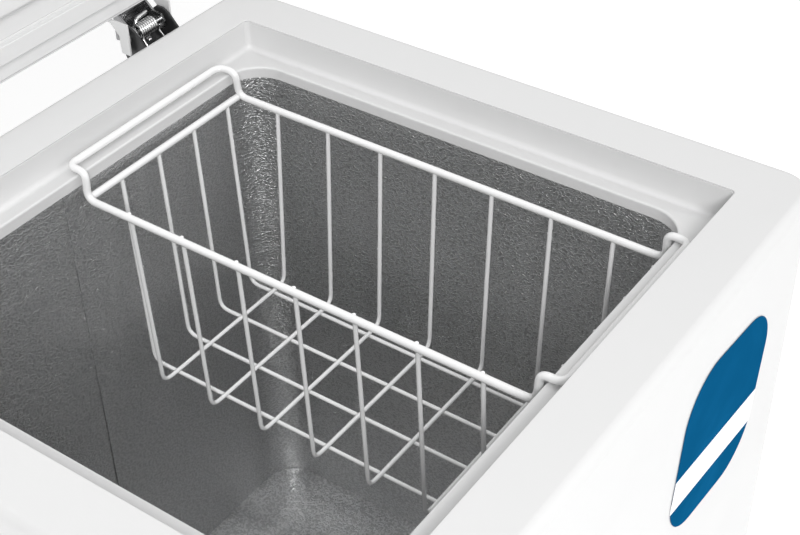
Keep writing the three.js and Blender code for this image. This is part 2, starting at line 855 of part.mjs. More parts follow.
function lidGrip() {
  const front = -pivotY - depth / 2 - lidOverhang - gap;
  const low = lidBottom + pivotBelowRim;
  const outline = [
    [front, low + 4], [front, low + 34], [front - 6, low + 34], [front - gripReach, low + 22],
    [front - gripReach, low + 6], [front - gripReach + 5, low + 6], [front - gripReach + 5, low + 18],
    [front - 5, low + 26], [front - 5, low + 4],
  ];
  return sideProfile(outline, -gripWidth / 2, gripWidth / 2);
}

put('lid_shell', cut(lidShell(), ...lidScrewHoles()), 'white_steel', lid);
put('lid_inner', lidInner(), 'white_plastic', lid);
put('lid_foam', cut(lidFoam(), ...lidScrewHoles()), 'foam', lid);
put('lid_gasket', lidGasket(), 'gasket', lid);
put('lid_grip', lidGrip(), 'white_plastic', lid);

// Screw holes in the lid's rear wall, in the closed lid's own directions.
function lidScrewHoles() {
  const rear = lidOverhang - pivotBehind;
  return leafScrews().map(([x, y]) => bar(x, rear, y, screwRadius + gap, 40, 'y', 8));
}

function leafScrews() {
  return hingePlaces().flatMap((x) => [[x - 9, 27], [x + 9, 27]]);
}

// ---- Hinges, drawn about the hinge line with the lid open ----
const lidRearFace = pivotBehind - lidOverhang;

function leafBracket(x) {
  const top = lidRearFace - gap;
  const web = block(x - leafHalf, x + leafHalf, 16, 16 + plateThick, -9, top);
  const flange = block(x - leafHalf, x + leafHalf, 16, 38, top - plateThick, top);
  const cheek = [
    [-5, -6.5], [4, -7.5], [17, -9], [17, top], [13, top], [4, 7.5], [-4, 7], [-7.5, 1], [-7.5, -3],
  ];
  const ears = [x - leafHalf, x + leafHalf - plateThick].map((left) =>
    sideProfile(cheek, left, left + plateThick));
  const body = join(web, flange, ...ears);
  const holes = [[x - 9, 27], [x + 9, 27]].map(([hx, y]) =>
    bar(hx, y, top, screwRadius + gap, 20, 'z', 8));
  return cut(body, bar(x, 0, 0, pinRadius + pinClear, 2 * leafHalf + 10, 'x', 12), ...holes);
}

function bodyBracket(x) {
  const back = -pivotBehind + gap;
  const plate = block(x - earHalf, x + earHalf, back, back + plateThick, -70, -6);
  const cheek = [
    [back, -66], [back, -5], [-9, 7], [-3, 10.5], [4, 10.5], [9.5, 6], [11, 0], [9, -8], [-4, -40],
  ];
  const ears = [x - earHalf, x + earHalf - plateThick].map((left) =>
    sideProfile(cheek, left, left + plateThick));
  const holes = screwHeights.map((z) => bar(x, back, z, screwRadius + gap, 10, 'y', 8));
  return cut(
    join(plate, ...ears), bar(x, 0, 0, pinRadius + pinClear, 2 * earHalf + 10, 'x', 12), ...holes,
  );
}

function pin(x) {
  const half = earHalf + gap;
  const stem = bar(x, 0, 0, pinRadius, 2 * half + 1, 'x', 12);
  const heads = [x - half - 1, x + half + 1].map((hx) => bar(hx, 0, 0, 5, 2, 'x', 12));
  return join(stem, ...heads);
}

function torsionSpring(x) {
  const wire = 1.1;
  const mean = 6;
  const turns = 3;
  const steps = 8;
  const path = [at(x - 11, -16, -16), at(x - 11, -mean, -6)];
  for (let i = 0; i <= turns * steps; i++) {
    const angle = Math.PI + (i / steps) * 2 * Math.PI;
    path.push(at(x - 10 + (20 * i) / (turns * steps), mean * Math.cos(angle), -mean * Math.sin(angle)));
  }
  path.push(at(x + 11, -mean, -6), at(x + 11, -16, -16));
  return rod(path, wire, 5);
}

function hingeCover(x) {
  const top = lidRearFace - 2 * gap;
  const shell = block(x - coverHalf, x + coverHalf, -6, 40, -13, top);
  const room = block(x - coverHalf + 1.8, x + coverHalf - 1.8, -20, 38.2, -30, top + 10);
  return cut(shell, room);
}

function screw() {
  return turned([
    [0, -14], [screwRadius * 0.4, -14], [screwRadius, -11], [screwRadius, 0], [screwHead, 0],
    [screwHead * 0.85, 1.8], [0, 2.4],
  ], 8);
}

for (const [side, x] of [['left', -hingeX], ['right', hingeX]]) {
  put(`hinge_body_${side}`, bodyBracket(x).translate(0, pivotY, pivotZ), 'black_steel');
  put(`hinge_pin_${side}`, pin(x).translate(0, pivotY, pivotZ), 'chrome');
  put(`hinge_spring_${side}`, torsionSpring(x).translate(0, pivotY, pivotZ), 'chrome');
  put(`hinge_leaf_${side}`, leafBracket(x), 'chrome', lidLeaf);
  put(`hinge_cover_${side}`, hingeCover(x), 'white_plastic', lidLeaf);
  screwHeights.forEach((z, number) => {
    const face = depth / 2 + gap + plateThick + gap;
    const bodyScrew = screw().rotateX(-quarter).translate(x, face, pivotZ + z);
    put(`body_screw_${side}_${number + 1}`, bodyScrew, 'chrome');
  });
  [x - 9, x + 9].forEach((sx, number) => {
    const under = lidRearFace - gap - plateThick - gap;
    const lidScrew = screw().rotateX(Math.PI).translate(sx, 27, under);
    put(`lid_screw_${side}_${number + 1}`, lidScrew, 'chrome', lidLeaf);
  });
}

// ---- Wire basket, one welded piece ----
function basketWires() {
  const top = rimHeight - basketBelowRim;
  const bottom = top - basketDeep;
  const middleX = (basketLeft + basketRight) / 2;
  const middleY = (basketFront + basketBack) / 2;
  const halfX = (basketRight - basketLeft) / 2;
  const halfY = (basketBack - basketFront) / 2;
  const ring = [];
  for (let side = 0; side < 8; side++) {
    const angle = ((side + 0.5) / 8) * 2 * Math.PI;
    const grow = frameWireRadius * Math.cos(angle);
    const height = top + frameWireRadius * Math.sin(angle);
    ring.push(level(halfX + grow, halfY + grow, 8 + grow, height, middleY, 3));
  }
  const wires = [loft(ring).translate(middleX, 0, 0)];
  const hook = frameWireRadius + thinWireRadius - 0.6;
  for (let i = 0; i < sideWires; i++) {
    const y = middleY + (i - (sideWires - 1) / 2) * sideWirePitch;
    const [left, right] = [basketLeft, basketRight];
    wires.push(rod(rounded([
      at(left - hook, y, top - 1), at(left - 1, y, top + hook), at(left + hook, y, top),
      at(left + basketTaper, y, bottom), at(right - basketTaper, y, bottom),
      at(right - hook, y, top), at(right + 1, y, top + hook), at(right + hook, y, top - 1),
    ], wireBend, 2), thinWireRadius, 5));
  }
  const low = bottom - 2 * thinWireRadius + 0.7;
  for (let i = 0; i < endWires; i++) {
    const x = endWireFirst + basketLeft + i * endWirePitch;
    const foot = x + endWireLean;
    const [near, far] = [basketFront, basketBack];
    wires.push(rod(rounded([
      at(x, near - hook, top - 1), at(x, near - 1, top + hook), at(x, near + hook, top),
      at(foot, near + basketEndTaper, low), at(foot, far - basketEndTaper, low),
      at(x, far - hook, top), at(x, far + 1, top + hook), at(x, far + hook, top - 1),
    ], wireBend, 2), thinWireRadius, 5));
  }
  const rest = rimHeight - handleBelowRim;
  for (const [y, out] of [[basketBack, handleOut], [basketFront, -handleOut]]) {
    wires.push(rod(rounded([
      at(basketLeft + 2, y, top), at(basketLeft + 2, y, rest), at(basketLeft + 2, y + out, rest),
      at(basketRight - 2, y + out, rest), at(basketRight - 2, y, rest), at(basketRight - 2, y, top),
    ], 9), frameWireRadius, 8));
  }
  return join(...wires);
}
put('wire_basket', basketWires(), 'basket');

// The origin is on the floor, under the middle of the whole outline.
freezer.updateMatrixWorld(true);
const outline = new THREE.Box3().setFromObject(freezer);
freezer.position.set(
  -(outline.min.x + outline.max.x) / 2, -(outline.min.y + outline.max.y) / 2, -outline.min.z,
);

export default freezer;
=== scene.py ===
"""Chest freezer with its lid open and a wire basket inside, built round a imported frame.

Each operator makes one piece or one group of like pieces, in metres and in the frame's own axes:
+Z up, +X to the right of someone standing in front, +Y to the back.
"""

import json
import math

import bmesh
import bpy
from bpy.props import FloatProperty, FloatVectorProperty, IntProperty, PointerProperty
from mathutils import Matrix, Vector


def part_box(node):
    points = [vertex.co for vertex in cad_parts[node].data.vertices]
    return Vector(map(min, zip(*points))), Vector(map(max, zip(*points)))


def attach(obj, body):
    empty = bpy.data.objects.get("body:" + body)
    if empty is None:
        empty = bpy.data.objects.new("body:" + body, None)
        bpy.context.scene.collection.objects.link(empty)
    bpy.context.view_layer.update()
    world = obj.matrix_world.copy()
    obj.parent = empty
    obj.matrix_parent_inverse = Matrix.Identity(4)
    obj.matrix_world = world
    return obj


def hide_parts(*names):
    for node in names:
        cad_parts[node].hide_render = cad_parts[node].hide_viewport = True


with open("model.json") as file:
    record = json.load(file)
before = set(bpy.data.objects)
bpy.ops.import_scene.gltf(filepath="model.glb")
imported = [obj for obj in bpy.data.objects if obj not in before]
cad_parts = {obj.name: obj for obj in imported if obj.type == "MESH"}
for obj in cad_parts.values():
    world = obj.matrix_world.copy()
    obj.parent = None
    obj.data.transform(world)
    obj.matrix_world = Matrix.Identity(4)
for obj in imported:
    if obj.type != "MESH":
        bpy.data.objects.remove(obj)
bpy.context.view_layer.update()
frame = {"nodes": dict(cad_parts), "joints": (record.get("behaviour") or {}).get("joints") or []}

bl_info = {
    "name": "Chest Freezer",
    "version": (1, 0, 0),
    "blender": (4, 5, 0),
    "location": "View3D > Sidebar > Freezer",
    "description": "Builds the visible pieces of a chest freezer and its studio",
    "category": "Add Mesh",
}

MM = 0.001
QUARTER = math.pi / 2
GAP = 0.3 * MM
LEAST_CORNER = 0.2 * MM
LEAST_SLOPE = 1e-4
WELD = 0.01 * MM
BEVEL_FROM = math.radians(32)
# The part of an edge that one bend may use, and a rod end's reach in radii.
BEND_SHARE = 0.49
DOME_REACH = 0.6
SHEET = 1.2 * MM

body_low, body_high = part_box("body_wrap")
liner_low, liner_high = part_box("liner")
collar_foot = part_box("rim_frame")[0].z
room_low, room_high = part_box("compartment_walls")

RIM = body_high.z
HALF_X = body_high.x
HALF_Y = (body_high.y - body_low.y) / 2
BODY_Y = (body_high.y + body_low.y) / 2
BODY_CORNER = 28 * MM

LINER_STAND_BACK = 2 * MM
OPENING_X = liner_high.x - SHEET - LINER_STAND_BACK
OPENING_Y = (liner_high.y - liner_low.y) / 2 - SHEET - LINER_STAND_BACK
OPENING_CENTRE = (liner_high.y + liner_low.y) / 2
OPENING_CORNER = 30 * MM
LEDGE_WIDTH = 20.5 * MM
STEP_DEPTH = 26.5 * MM
LEDGE_RISE = 4.7 * MM
COLLAR_DROP = RIM - collar_foot
FLOOR = liner_low.z + SHEET
HUMP_TOP = room_high.z + GAP + 50 * MM
HUMP_LEFT = room_low.x - 50 * MM

HINGE = Vector(next(j for j in frame["joints"] if j["name"] == "lid_hinge")["pos_m"])
LID_OVERHANG = 4 * MM
LID_CORNER = 30 * MM
LID_BOTTOM = 8.5 * MM
LID_TOP = 55 * MM
LID_SKIN = 1.8 * MM
PIVOT_BELOW_RIM = RIM - HINGE.z


# ---- Sizes and colours a user would change ----
class FreezerSizes(bpy.types.PropertyGroup):
    """Small radii and counts that the frame doesn't fix."""

    rim_round: FloatProperty(
        name="Rim round", description="Radius of the cabinet's top outer edge",
        default=8 * MM, unit="LENGTH")
    lip_round: FloatProperty(
        name="Lip round", description="Radius of the frame's inner lip",
        default=1.8 * MM, unit="LENGTH")
    ledge_fillet: FloatProperty(
        name="Ledge fillet", description="Radius where the step wall meets the ledge",
        default=4.5 * MM, unit="LENGTH")
    corner_steps: IntProperty(
        name="Corner steps", description="Faces round each vertical corner", default=14)
    frame_wire: FloatProperty(
        name="Frame wire", description="Radius of the basket's thick wire",
        default=3 * MM, unit="LENGTH")
    thin_wire: FloatProperty(
        name="Thin wire", description="Radius of the basket's thin wires",
        default=1.75 * MM, unit="LENGTH")
    side_wires: IntProperty(
        name="Side wires", description="Hoops across the basket", default=7)
    end_wires: IntProperty(
        name="End wires", description="Hoops along the basket", default=4)


class FreezerColours(bpy.types.PropertyGroup):
    """Base colours of the finishes that show most."""

    enamel: FloatVectorProperty(
        name="Enamel", description="White coated steel", subtype="COLOR", size=4,
        default=(0.665, 0.665, 0.665, 1))
    plastic: FloatVectorProperty(
        name="Plastic", description="White moulded plastic", subtype="COLOR", size=4,
        default=(0.655, 0.655, 0.655, 1))
    liner: FloatVectorProperty(
        name="Liner", description="Embossed aluminium", subtype="COLOR", size=4,
        default=(0.70, 0.703, 0.706, 1))
    wire: FloatVectorProperty(
        name="Wire", description="White coated basket wire", subtype="COLOR", size=4,
        default=(0.80, 0.80, 0.80, 1))
    label: FloatVectorProperty(
        name="Label", description="Printed blue", subtype="COLOR", size=4,
        default=(0.0032, 0.084, 0.2, 1))


class FreezerStage(bpy.types.PropertyGroup):
    """Camera and light."""

    camera_at: FloatVectorProperty(
        name="Camera", description="Where the camera stands", subtype="TRANSLATION",
        unit="LENGTH", default=(-0.58375, -0.54401, 1.38766))
    look_at: FloatVectorProperty(
        name="Aim", description="The point the camera looks at", subtype="TRANSLATION",
        unit="LENGTH", default=(0.30616, 0.09901, 0.51899))
    roll: FloatProperty(
        name="Roll", description="Turn about the line of sight", subtype="ANGLE",
        default=math.radians(-1.19))
    lens: FloatProperty(
        name="Lens", description="Focal length in millimetres", default=66.29)
    sky: FloatProperty(
        name="Sky", description="Strength of the light from all round", default=0.62)
    overhead: FloatProperty(
        name="Overhead", description="Power of the softbox above", default=16)
    front: FloatProperty(
        name="Front", description="Power of the softbox in front", default=3)
    side: FloatProperty(
        name="Side", description="Power of the softbox to the left and in front", default=52)


# ---- Meshes ----
def at(x, y, z):
    return Vector((x, y, z))


def mm(*values):
    """Millimetres as a list of metres."""
    return [value * MM for value in values]


def circle(sides):
    """Cosine and sine of each step round a full turn."""
    turns = [2 * math.pi * k / sides for k in range(sides)]
    return [(math.cos(angle), math.sin(angle)) for angle in turns]


def quarter_arc(steps):
    """Cosine and sine of each step from nothing to a quarter turn."""
    turns = [QUARTER * k / steps for k in range(steps + 1)]
    return [(math.cos(angle), math.sin(angle)) for angle in turns]


def middle_of(name):
    """The middle of a frame node's box."""
    low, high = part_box(name)
    return (low + high) / 2


def corner_loop(half_x, half_y, corner, z, centre_y, steps):
    """A rounded rectangle at height z, from +X turning towards +Y."""
    radius = max(corner, LEAST_CORNER)
    loop = []
    for turn, (sign_x, sign_y) in enumerate(((1, 1), (-1, 1), (-1, -1), (1, -1))):
        for step in range(steps + 1):
            angle = (turn + step / steps) * QUARTER
            loop.append(at(
                sign_x * (half_x - radius) + radius * math.cos(angle),
                centre_y + sign_y * (half_y - radius) + radius * math.sin(angle), z))
    return loop


def rounded_plate(half_a, half_b, corner, centre_b, steps):
    """A rounded rectangle as pairs."""
    return [(p.x, p.y) for p in corner_loop(half_a, half_b, corner, 0, centre_b, steps)]


def outer_loop(inset, z, steps):
    return corner_loop(
        HALF_X - inset, HALF_Y - inset, BODY_CORNER - inset, z, BODY_Y, steps)


def opening_loop(grow, z, corner, steps):
    return corner_loop(
        OPENING_X + grow, OPENING_Y + grow, corner, z, OPENING_CENTRE, steps)


def lid_loop(inset, z, corner, steps):
    """A loop of the lid at height z above the rim, carried to where the open lid stands."""
    closed = corner_loop(
        HALF_X + LID_OVERHANG - inset, HALF_Y + LID_OVERHANG - inset, corner,
        z + PIVOT_BELOW_RIM, BODY_Y - HINGE.y, steps)
    return [lid_point(point) for point in closed]


def lid_point(point):
    """Turns a point of the closed lid, measured from the hinge line, a quarter turn open."""
    return at(point.x, HINGE.y + point.z, HINGE.z - point.y)


def rounded_path(points, radii, closed, steps):
    """The same path with each corner turned into a short bend of the given radius."""
    count = len(points)
    if isinstance(radii, (int, float)):
        radii = [radii] * count
    path = []
    for i, corner in enumerate(points):
        if not closed and i in (0, count - 1) or radii[i] <= 0:
            path.append(corner.copy())
            continue
        back = points[i - 1] - corner
        ahead = points[(i + 1) % count] - corner
        reach = radii[i] / max(math.tan(back.angle(ahead) / 2), LEAST_SLOPE)
        reach = min(reach, back.length * BEND_SHARE, ahead.length * BEND_SHARE)
        start = corner + back.normalized() * reach
        end = corner + ahead.normalized() * reach
        for step in range(steps + 1):
            t = step / steps
            path.append(start * (1 - t) ** 2 + corner * 2 * t * (1 - t) + end * t ** 2)
    return path


def rounded_profile(points, radii, steps):
    """A closed outline of pairs with each corner rounded by its own radius."""
    flat = [at(a, b, 0) for a, b in points]
    return [(p.x, p.y) for p in rounded_path(flat, radii, True, steps)]


class Shape:
    """Points and faces gathered for one piece. Each face carries a material number."""

    def __init__(self):
        self.points = []
        self.faces = []
        self.finish = []

    def face(self, corners, finish=0):
        self.faces.append(corners)
        self.finish.append(finish)

    def loft(self, rings, ends="open", finish=0):
        """Joins equal loops of points. Ends are 'open', 'capped', or 'ring' for a closed skin."""
        base = len(self.points)
        count = len(rings[0])
        for ring in rings:
            self.points.extend(ring)
        spans = len(rings) if ends == "ring" else len(rings) - 1
        for row in range(spans):
            below = base + row * count
            above = base + (row + 1) % len(rings) * count
            for i in range(count):
                n = (i + 1) % count
                self.face((below + i, below + n, above + n, above + i), finish)
        if ends == "capped":
            last = base + (len(rings) - 1) * count
            self.face(tuple(base + i for i in reversed(range(count))), finish)
            self.face(tuple(last + i for i in range(count)), finish)
        return self

    def rod(self, path, radius, sides, closed=False):
        """A round bar along a path, with a section that doesn't twist and domed ends."""
        count = len(path)
        tangents = []
        for i in range(count):
            before = path[i - 1] if closed or i > 0 else path[i]
            after = path[(i + 1) % count] if closed or i < count - 1 else path[i]
            tangents.append((after - before).normalized())
        side = tangents[0].orthogonal().normalized()
        rings = []
        for point, tangent in zip(path, tangents):
            side = (side - tangent * side.dot(tangent)).normalized()
            other = tangent.cross(side)
            rings.append([point + (side * c + other * s) * radius for c, s in circle(sides)])
        if closed:
            return self.loft(rings, "ring")

        def dome(centre, outward, ring):
            return [
                [centre + outward * (radius * DOME_REACH - radius * (1 - c)) + (p - centre) * s
                 for p in ring]
                for c, s in quarter_arc(3)[1:3]]

        first = dome(path[0], -tangents[0], rings[0])
        last = dome(path[-1], tangents[-1], rings[-1])
        return self.loft(first + rings + last[::-1], "capped")

    def turned(self, profile, centre, axis, sides, finish=0):
        """A turned form: each pair is radius and distance along the axis."""
        turn = {"Z": Matrix.Identity(3), "Y": Matrix.Rotation(QUARTER, 3, "X"),
                "X": Matrix.Rotation(QUARTER, 3, "Y")}[axis]
        rings = [
            [centre + turn @ at(radius * c, radius * s, height) for c, s in circle(sides)]
            for radius, height in profile]
        return self.loft(rings, "capped", finish)

    def block(self, low, high):
        """A block between two corners, to be bevelled by its piece."""
        loops = [
            [at(low[0], low[1], z), at(high[0], low[1], z),
             at(high[0], high[1], z), at(low[0], high[1], z)]
            for z in (low[2], high[2])]
        return self.loft(loops, "capped")

    def slab(self, outline, thickness, place, finish=0):
        """A flat outline of pairs given a thickness. Place carries (a, b, depth) into the frame."""
        loops = [[place(a, b, depth) for a, b in outline] for depth in (0, thickness)]
        return self.loft(loops, "capped", finish)


def make_piece(name, shape, materials, body, stands_for=(), bevel=0.0, segments=3,
               smooth=35):
    """Makes the object, gives it its finish and fixes it to its body."""
    mesh = bpy.data.meshes.new(name)
    mesh.from_pydata(shape.points, [], shape.faces)
    mesh.polygons.foreach_set("material_index", shape.finish)
    clean_mesh(mesh)
    piece = bpy.data.objects.new(name, mesh)
    bpy.context.scene.collection.objects.link(piece)
    if not isinstance(materials, (list, tuple)):
        materials = [materials]
    for material in materials:
        mesh.materials.append(material)
    mesh.shade_smooth()
    mesh.set_sharp_from_angle(angle=math.radians(smooth))
    if bevel:
        add_bevel(piece, bevel, segments)
    weigh_normals(piece)
    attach(piece, body)
    if stands_for:
        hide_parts(*stands_for)
    return piece


def clean_mesh(mesh):
    """Merges doubled points, drops empty faces and turns every face outwards."""
    work = bmesh.new()
    work.from_mesh(mesh)
    bmesh.ops.remove_doubles(work, verts=work.verts, dist=1e-6)
    bmesh.ops.dissolve_degenerate(work, edges=work.edges, dist=1e-7)
    bmesh.ops.recalc_face_normals(work, faces=work.faces)
    work.to_mesh(mesh)
    work.free()


def add_bevel(piece, width, segments):
    bevel = piece.modifiers.new("Edge round", "BEVEL")
    bevel.width = width
    bevel.segments = segments
    bevel.limit_method = "ANGLE"
    bevel.angle_limit = BEVEL_FROM


def weigh_normals(piece):
    weigh = piece.modifiers.new("Flat faces", "WEIGHTED_NORMAL")
    weigh.keep_sharp = True
    weigh.weight = 60


def carve(piece, cutter):
    """Cuts a shape out of a piece for good."""
    mesh = bpy.data.meshes.new("cutter")
    mesh.from_pydata(cutter.points, [], cutter.faces)
    clean_mesh(mesh)
    tool = bpy.data.objects.new("cutter", mesh)
    bpy.context.scene.collection.objects.link(tool)
    modifiers = [m for m in piece.modifiers if m.type != "BOOLEAN"]
    for modifier in modifiers:
        modifier.show_viewport = False
    boolean = piece.modifiers.new("cut", "BOOLEAN")
    boolean.operation = "DIFFERENCE"
    boolean.solver = "EXACT"
    boolean.object = tool
    graph = bpy.context.evaluated_depsgraph_get()
    result = bpy.data.meshes.new_from_object(piece.evaluated_get(graph))
    piece.modifiers.remove(boolean)
    old = piece.data
    piece.data = result
    result.name = piece.name
    bpy.data.meshes.remove(old)
    bpy.data.objects.remove(tool)
    for modifier in modifiers:
        modifier.show_viewport = True
    if not piece.data.polygons:
        raise RuntimeError(f"{piece.name} was cut away")


def keep_cad(node, material, bevel=0.0, segments=2):
    """Keeps a frame node whose shape is right, with rounded edges and a real finish."""
    piece = frame["nodes"][node]
    piece.data.materials.clear()
    piece.data.materials.append(material)
    weld = piece.modifiers.new("Weld", "WELD")
    weld.merge_threshold = WELD
    if bevel:
        add_bevel(piece, bevel, segments)
    weigh_normals(piece)
    return piece


# ---- Shader effects, each a group used by several finishes ----
def effect(name, inputs, outputs):
    """An empty node group with named sockets. Returns the group, its input and its output node."""
    group = bpy.data.node_groups.new(name, "ShaderNodeTree")
    for label, default in inputs:
        socket = group.interface.new_socket(
            name=label, in_out="INPUT", socket_type="NodeSocketFloat")
        socket.default_value = default
    for label in outputs:
        group.interface.new_socket(
            name=label, in_out="OUTPUT", socket_type="NodeSocketFloat")
    return group, group.nodes.new("NodeGroupInput"), group.nodes.new("NodeGroupOutput")


def node(tree, kind, **settings):
    made = tree.nodes.new(kind)
    for key, value in settings.items():
        setattr(made, key, value)
    return made


def feed(tree, socket, value):
    """Sets a socket to a number, or links it to another node's output."""
    if isinstance(value, (int, float)):
        socket.default_value = value
    else:
        tree.links.new(value, socket)


def stretched_place(tree, x=1.0, y=1.0, z=1.0):
    """Object coordinates, scaled along each axis."""
    place = node(tree, "ShaderNodeTexCoord")
    mapping = node(tree, "ShaderNodeMapping")
    mapping.inputs["Scale"].default_value = (x, y, z)
    tree.links.new(place.outputs["Object"], mapping.inputs["Vector"])
    return mapping.outputs["Vector"]


def noise_value(tree, vector, scale, detail, distortion=0.0):
    made = node(tree, "ShaderNodeTexNoise")
    for label, value in (("Vector", vector), ("Scale", scale), ("Detail", detail),
                         ("Distortion", distortion)):
        feed(tree, made.inputs[label], value)
    return made.outputs["Fac"]


def arithmetic(tree, operation, a, b):
    made = node(tree, "ShaderNodeMath", operation=operation)
    feed(tree, made.inputs[0], a)
    feed(tree, made.inputs[1], b)
    return made.outputs[0]


def remap(tree, value, low, high, to_low=0.0, to_high=1.0, kind="SMOOTHSTEP"):
    made = node(tree, "ShaderNodeMapRange", interpolation_type=kind)
    for label, given in (("Value", value), ("From Min", low), ("From Max", high),
                         ("To Min", to_low), ("To Max", to_high)):
        feed(tree, made.inputs[label], given)
    return made.outputs["Result"]


def orange_peel_effect():
    """Fine ripple of a sprayed or moulded surface, with a faint change of gloss."""
    group, given, out = effect("Orange peel", [("Scale", 900.0)], ["Height", "Gloss"])
    place = stretched_place(group)
    ripple = noise_value(group, place, given.outputs["Scale"], 2, 0.2)
    broad = noise_value(group, place, 14, 3)
    group.links.new(ripple, out.inputs["Height"])
    group.links.new(remap(group, broad, 0.3, 0.7), out.inputs["Gloss"])
    return group


def stucco_effect():
    """Short soft ridges pressed into thin sheet, over upright waves left by the tubes behind."""
    group, given, out = effect(
        "Stucco emboss", [("Scale", 470.0), ("Waves", 22.0)], ["Height", "Tone"])
    ridges = noise_value(
        group, stretched_place(group, z=1.7), given.outputs["Scale"], 0.5, 0.6)
    pressed = remap(group, ridges, 0.36, 0.64)
    grain = arithmetic(
        group, "MULTIPLY", noise_value(group, stretched_place(group), 700, 1), 0.2)
    slow = noise_value(group, stretched_place(group, 9, 9, 0.6), 2, 1)
    waves = arithmetic(group, "MULTIPLY", slow, given.outputs["Waves"])
    total = arithmetic(group, "ADD", arithmetic(group, "ADD", pressed, grain), waves)
    group.links.new(total, out.inputs["Height"])
    # Tone is the pressed mask; the liner uses it to paint shade into the emboss hollows.
    group.links.new(pressed, out.inputs["Tone"])
    return group


def spangle_effect():
    """Flat crystals of zinc on galvanised sheet."""
    group, given, out = effect("Zinc spangle", [("Scale", 90.0)], ["Tone", "Height"])
    cells = node(group, "ShaderNodeTexVoronoi")
    group.links.new(stretched_place(group), cells.inputs["Vector"])
    group.links.new(given.outputs["Scale"], cells.inputs["Scale"])
    split = node(group, "ShaderNodeSeparateColor")
    group.links.new(cells.outputs["Color"], split.inputs["Color"])
    group.links.new(split.outputs["Red"], out.inputs["Tone"])
    group.links.new(cells.outputs["Distance"], out.inputs["Height"])
    return group


def soil_effect():
    """Patches of handling and dust, 0 where clean."""
    group, given, out = effect("Soil", [("Scale", 8.0), ("Amount", 0.5)], ["Mask"])
    patch = noise_value(group, stretched_place(group), given.outputs["Scale"], 5, 0.4)
    mask = arithmetic(
        group, "MULTIPLY", remap(group, patch, 0.48, 0.72), given.outputs["Amount"])
    group.links.new(mask, out.inputs["Mask"])
    return group


def drawn_effect():
    """Drawing lines along X left by rolling or bending."""
    group, given, out = effect("Drawn lines", [("Scale", 60.0)], ["Height", "Gloss"])
    lines = noise_value(group, stretched_place(group, 1, 30, 30), given.outputs["Scale"], 3)
    group.links.new(lines, out.inputs["Height"])
    group.links.new(remap(group, lines, 0.3, 0.7), out.inputs["Gloss"])
    return group


effects = {}


def build_effects():
    effects.update(
        peel=orange_peel_effect(), stucco=stucco_effect(), spangle=spangle_effect(),
        soil=soil_effect(), drawn=drawn_effect())


# ---- Finishes ----
class Finish:
    """One material: a Principled shader with effects wired to its colour, gloss and bump."""

    def __init__(self, name, colour, roughness, metallic=0.0, coat=0.0, specular=0.5):
        self.material = bpy.data.materials.new(name)
        self.material.use_nodes = True
        self.tree = self.material.node_tree
        self.shader = self.tree.nodes["Principled BSDF"]
        self.shader.inputs["Base Color"].default_value = colour
        self.shader.inputs["Roughness"].default_value = roughness
        self.shader.inputs["Metallic"].default_value = metallic
        self.shader.inputs["Coat Weight"].default_value = coat
        self.shader.inputs["Specular IOR Level"].default_value = specular
        self.colour = colour
        self.roughness = roughness
        self.material.diffuse_color = colour

    def uses(self, name, **values):
        placed = node(self.tree, "ShaderNodeGroup", node_tree=effects[name])
        for label, value in values.items():
            placed.inputs[label].default_value = value
        return placed.outputs

    def bump(self, height, distance, strength=1.0):
        made = node(self.tree, "ShaderNodeBump")
        made.inputs["Distance"].default_value = distance
        made.inputs["Strength"].default_value = strength
        self.tree.links.new(height, made.inputs["Height"])
        self.tree.links.new(made.outputs["Normal"], self.shader.inputs["Normal"])
        return self

    def gloss(self, mask, change):
        low = max(self.roughness - change / 2, 0.02)
        value = remap(self.tree, mask, 0, 1, low, low + change, "LINEAR")
        self.tree.links.new(value, self.shader.inputs["Roughness"])
        return self

    def tint(self, mask, other, share=1.0):
        mix = node(self.tree, "ShaderNodeMix", data_type="RGBA")
        mix.inputs["A"].default_value = self.colour
        mix.inputs["B"].default_value = (*other, 1)
        factor = arithmetic(self.tree, "MULTIPLY", mask, share)
        self.tree.links.new(factor, mix.inputs["Factor"])
        result = next(s for s in mix.outputs if s.type == "RGBA")
        self.tree.links.new(result, self.shader.inputs["Base Color"])
        return self


def shade(colour, factor):
    return tuple(channel * factor for channel in colour[:3])


finishes = {}


def coated_finish(name, colour, roughness, relief, bump, gloss, soil, soiled, **looks):
    """A finish with fine relief and patches of soil.

    Relief is an effect and its scale, bump a depth in millimetres and a strength, gloss the
    change of roughness, and soil a scale and an amount.
    """
    made = Finish(name, colour, roughness, **looks)
    surface = made.uses(relief[0], Scale=relief[1])
    made.bump(surface["Height"], bump[0] * MM, bump[1]).gloss(surface["Gloss"], gloss)
    made.tint(made.uses("soil", Scale=soil[0], Amount=soil[1])["Mask"], soiled)
    return made.material


def stucco_finish(colour):
    sheet = Finish("Stucco aluminium", colour, 0.36, metallic=1.0)
    stucco = sheet.uses("stucco", Scale=470.0, Waves=22.0)
    sheet.bump(stucco["Height"], 0.32 * MM, 1.0).gloss(stucco["Tone"], 0.10)
    # Painted shade: the pressed hollows of the emboss are darkened towards 0.6 of the sheet's
    # colour, standing in for shade in the relief.
    return sheet.tint(stucco["Tone"], shade(colour, 0.6), 0.65).material


def foam_finish():
    foam = Finish("Insulating foam", (0.80, 0.70, 0.42, 1), 0.9)
    skin = foam.uses("peel", Scale=400.0)
    foam.bump(skin["Height"], 0.6 * MM, 0.8)
    return foam.tint(skin["Gloss"], (0.72, 0.60, 0.32), 0.7).material


def zinc_finish():
    zinc = Finish("Galvanised steel", (0.52, 0.54, 0.55, 1), 0.42, metallic=0.9)
    spangle = zinc.uses("spangle", Scale=85.0)
    zinc.bump(spangle["Height"], 0.05 * MM, 0.3).gloss(spangle["Tone"], 0.22)
    return zinc.tint(spangle["Tone"], (0.66, 0.68, 0.69), 0.8).material


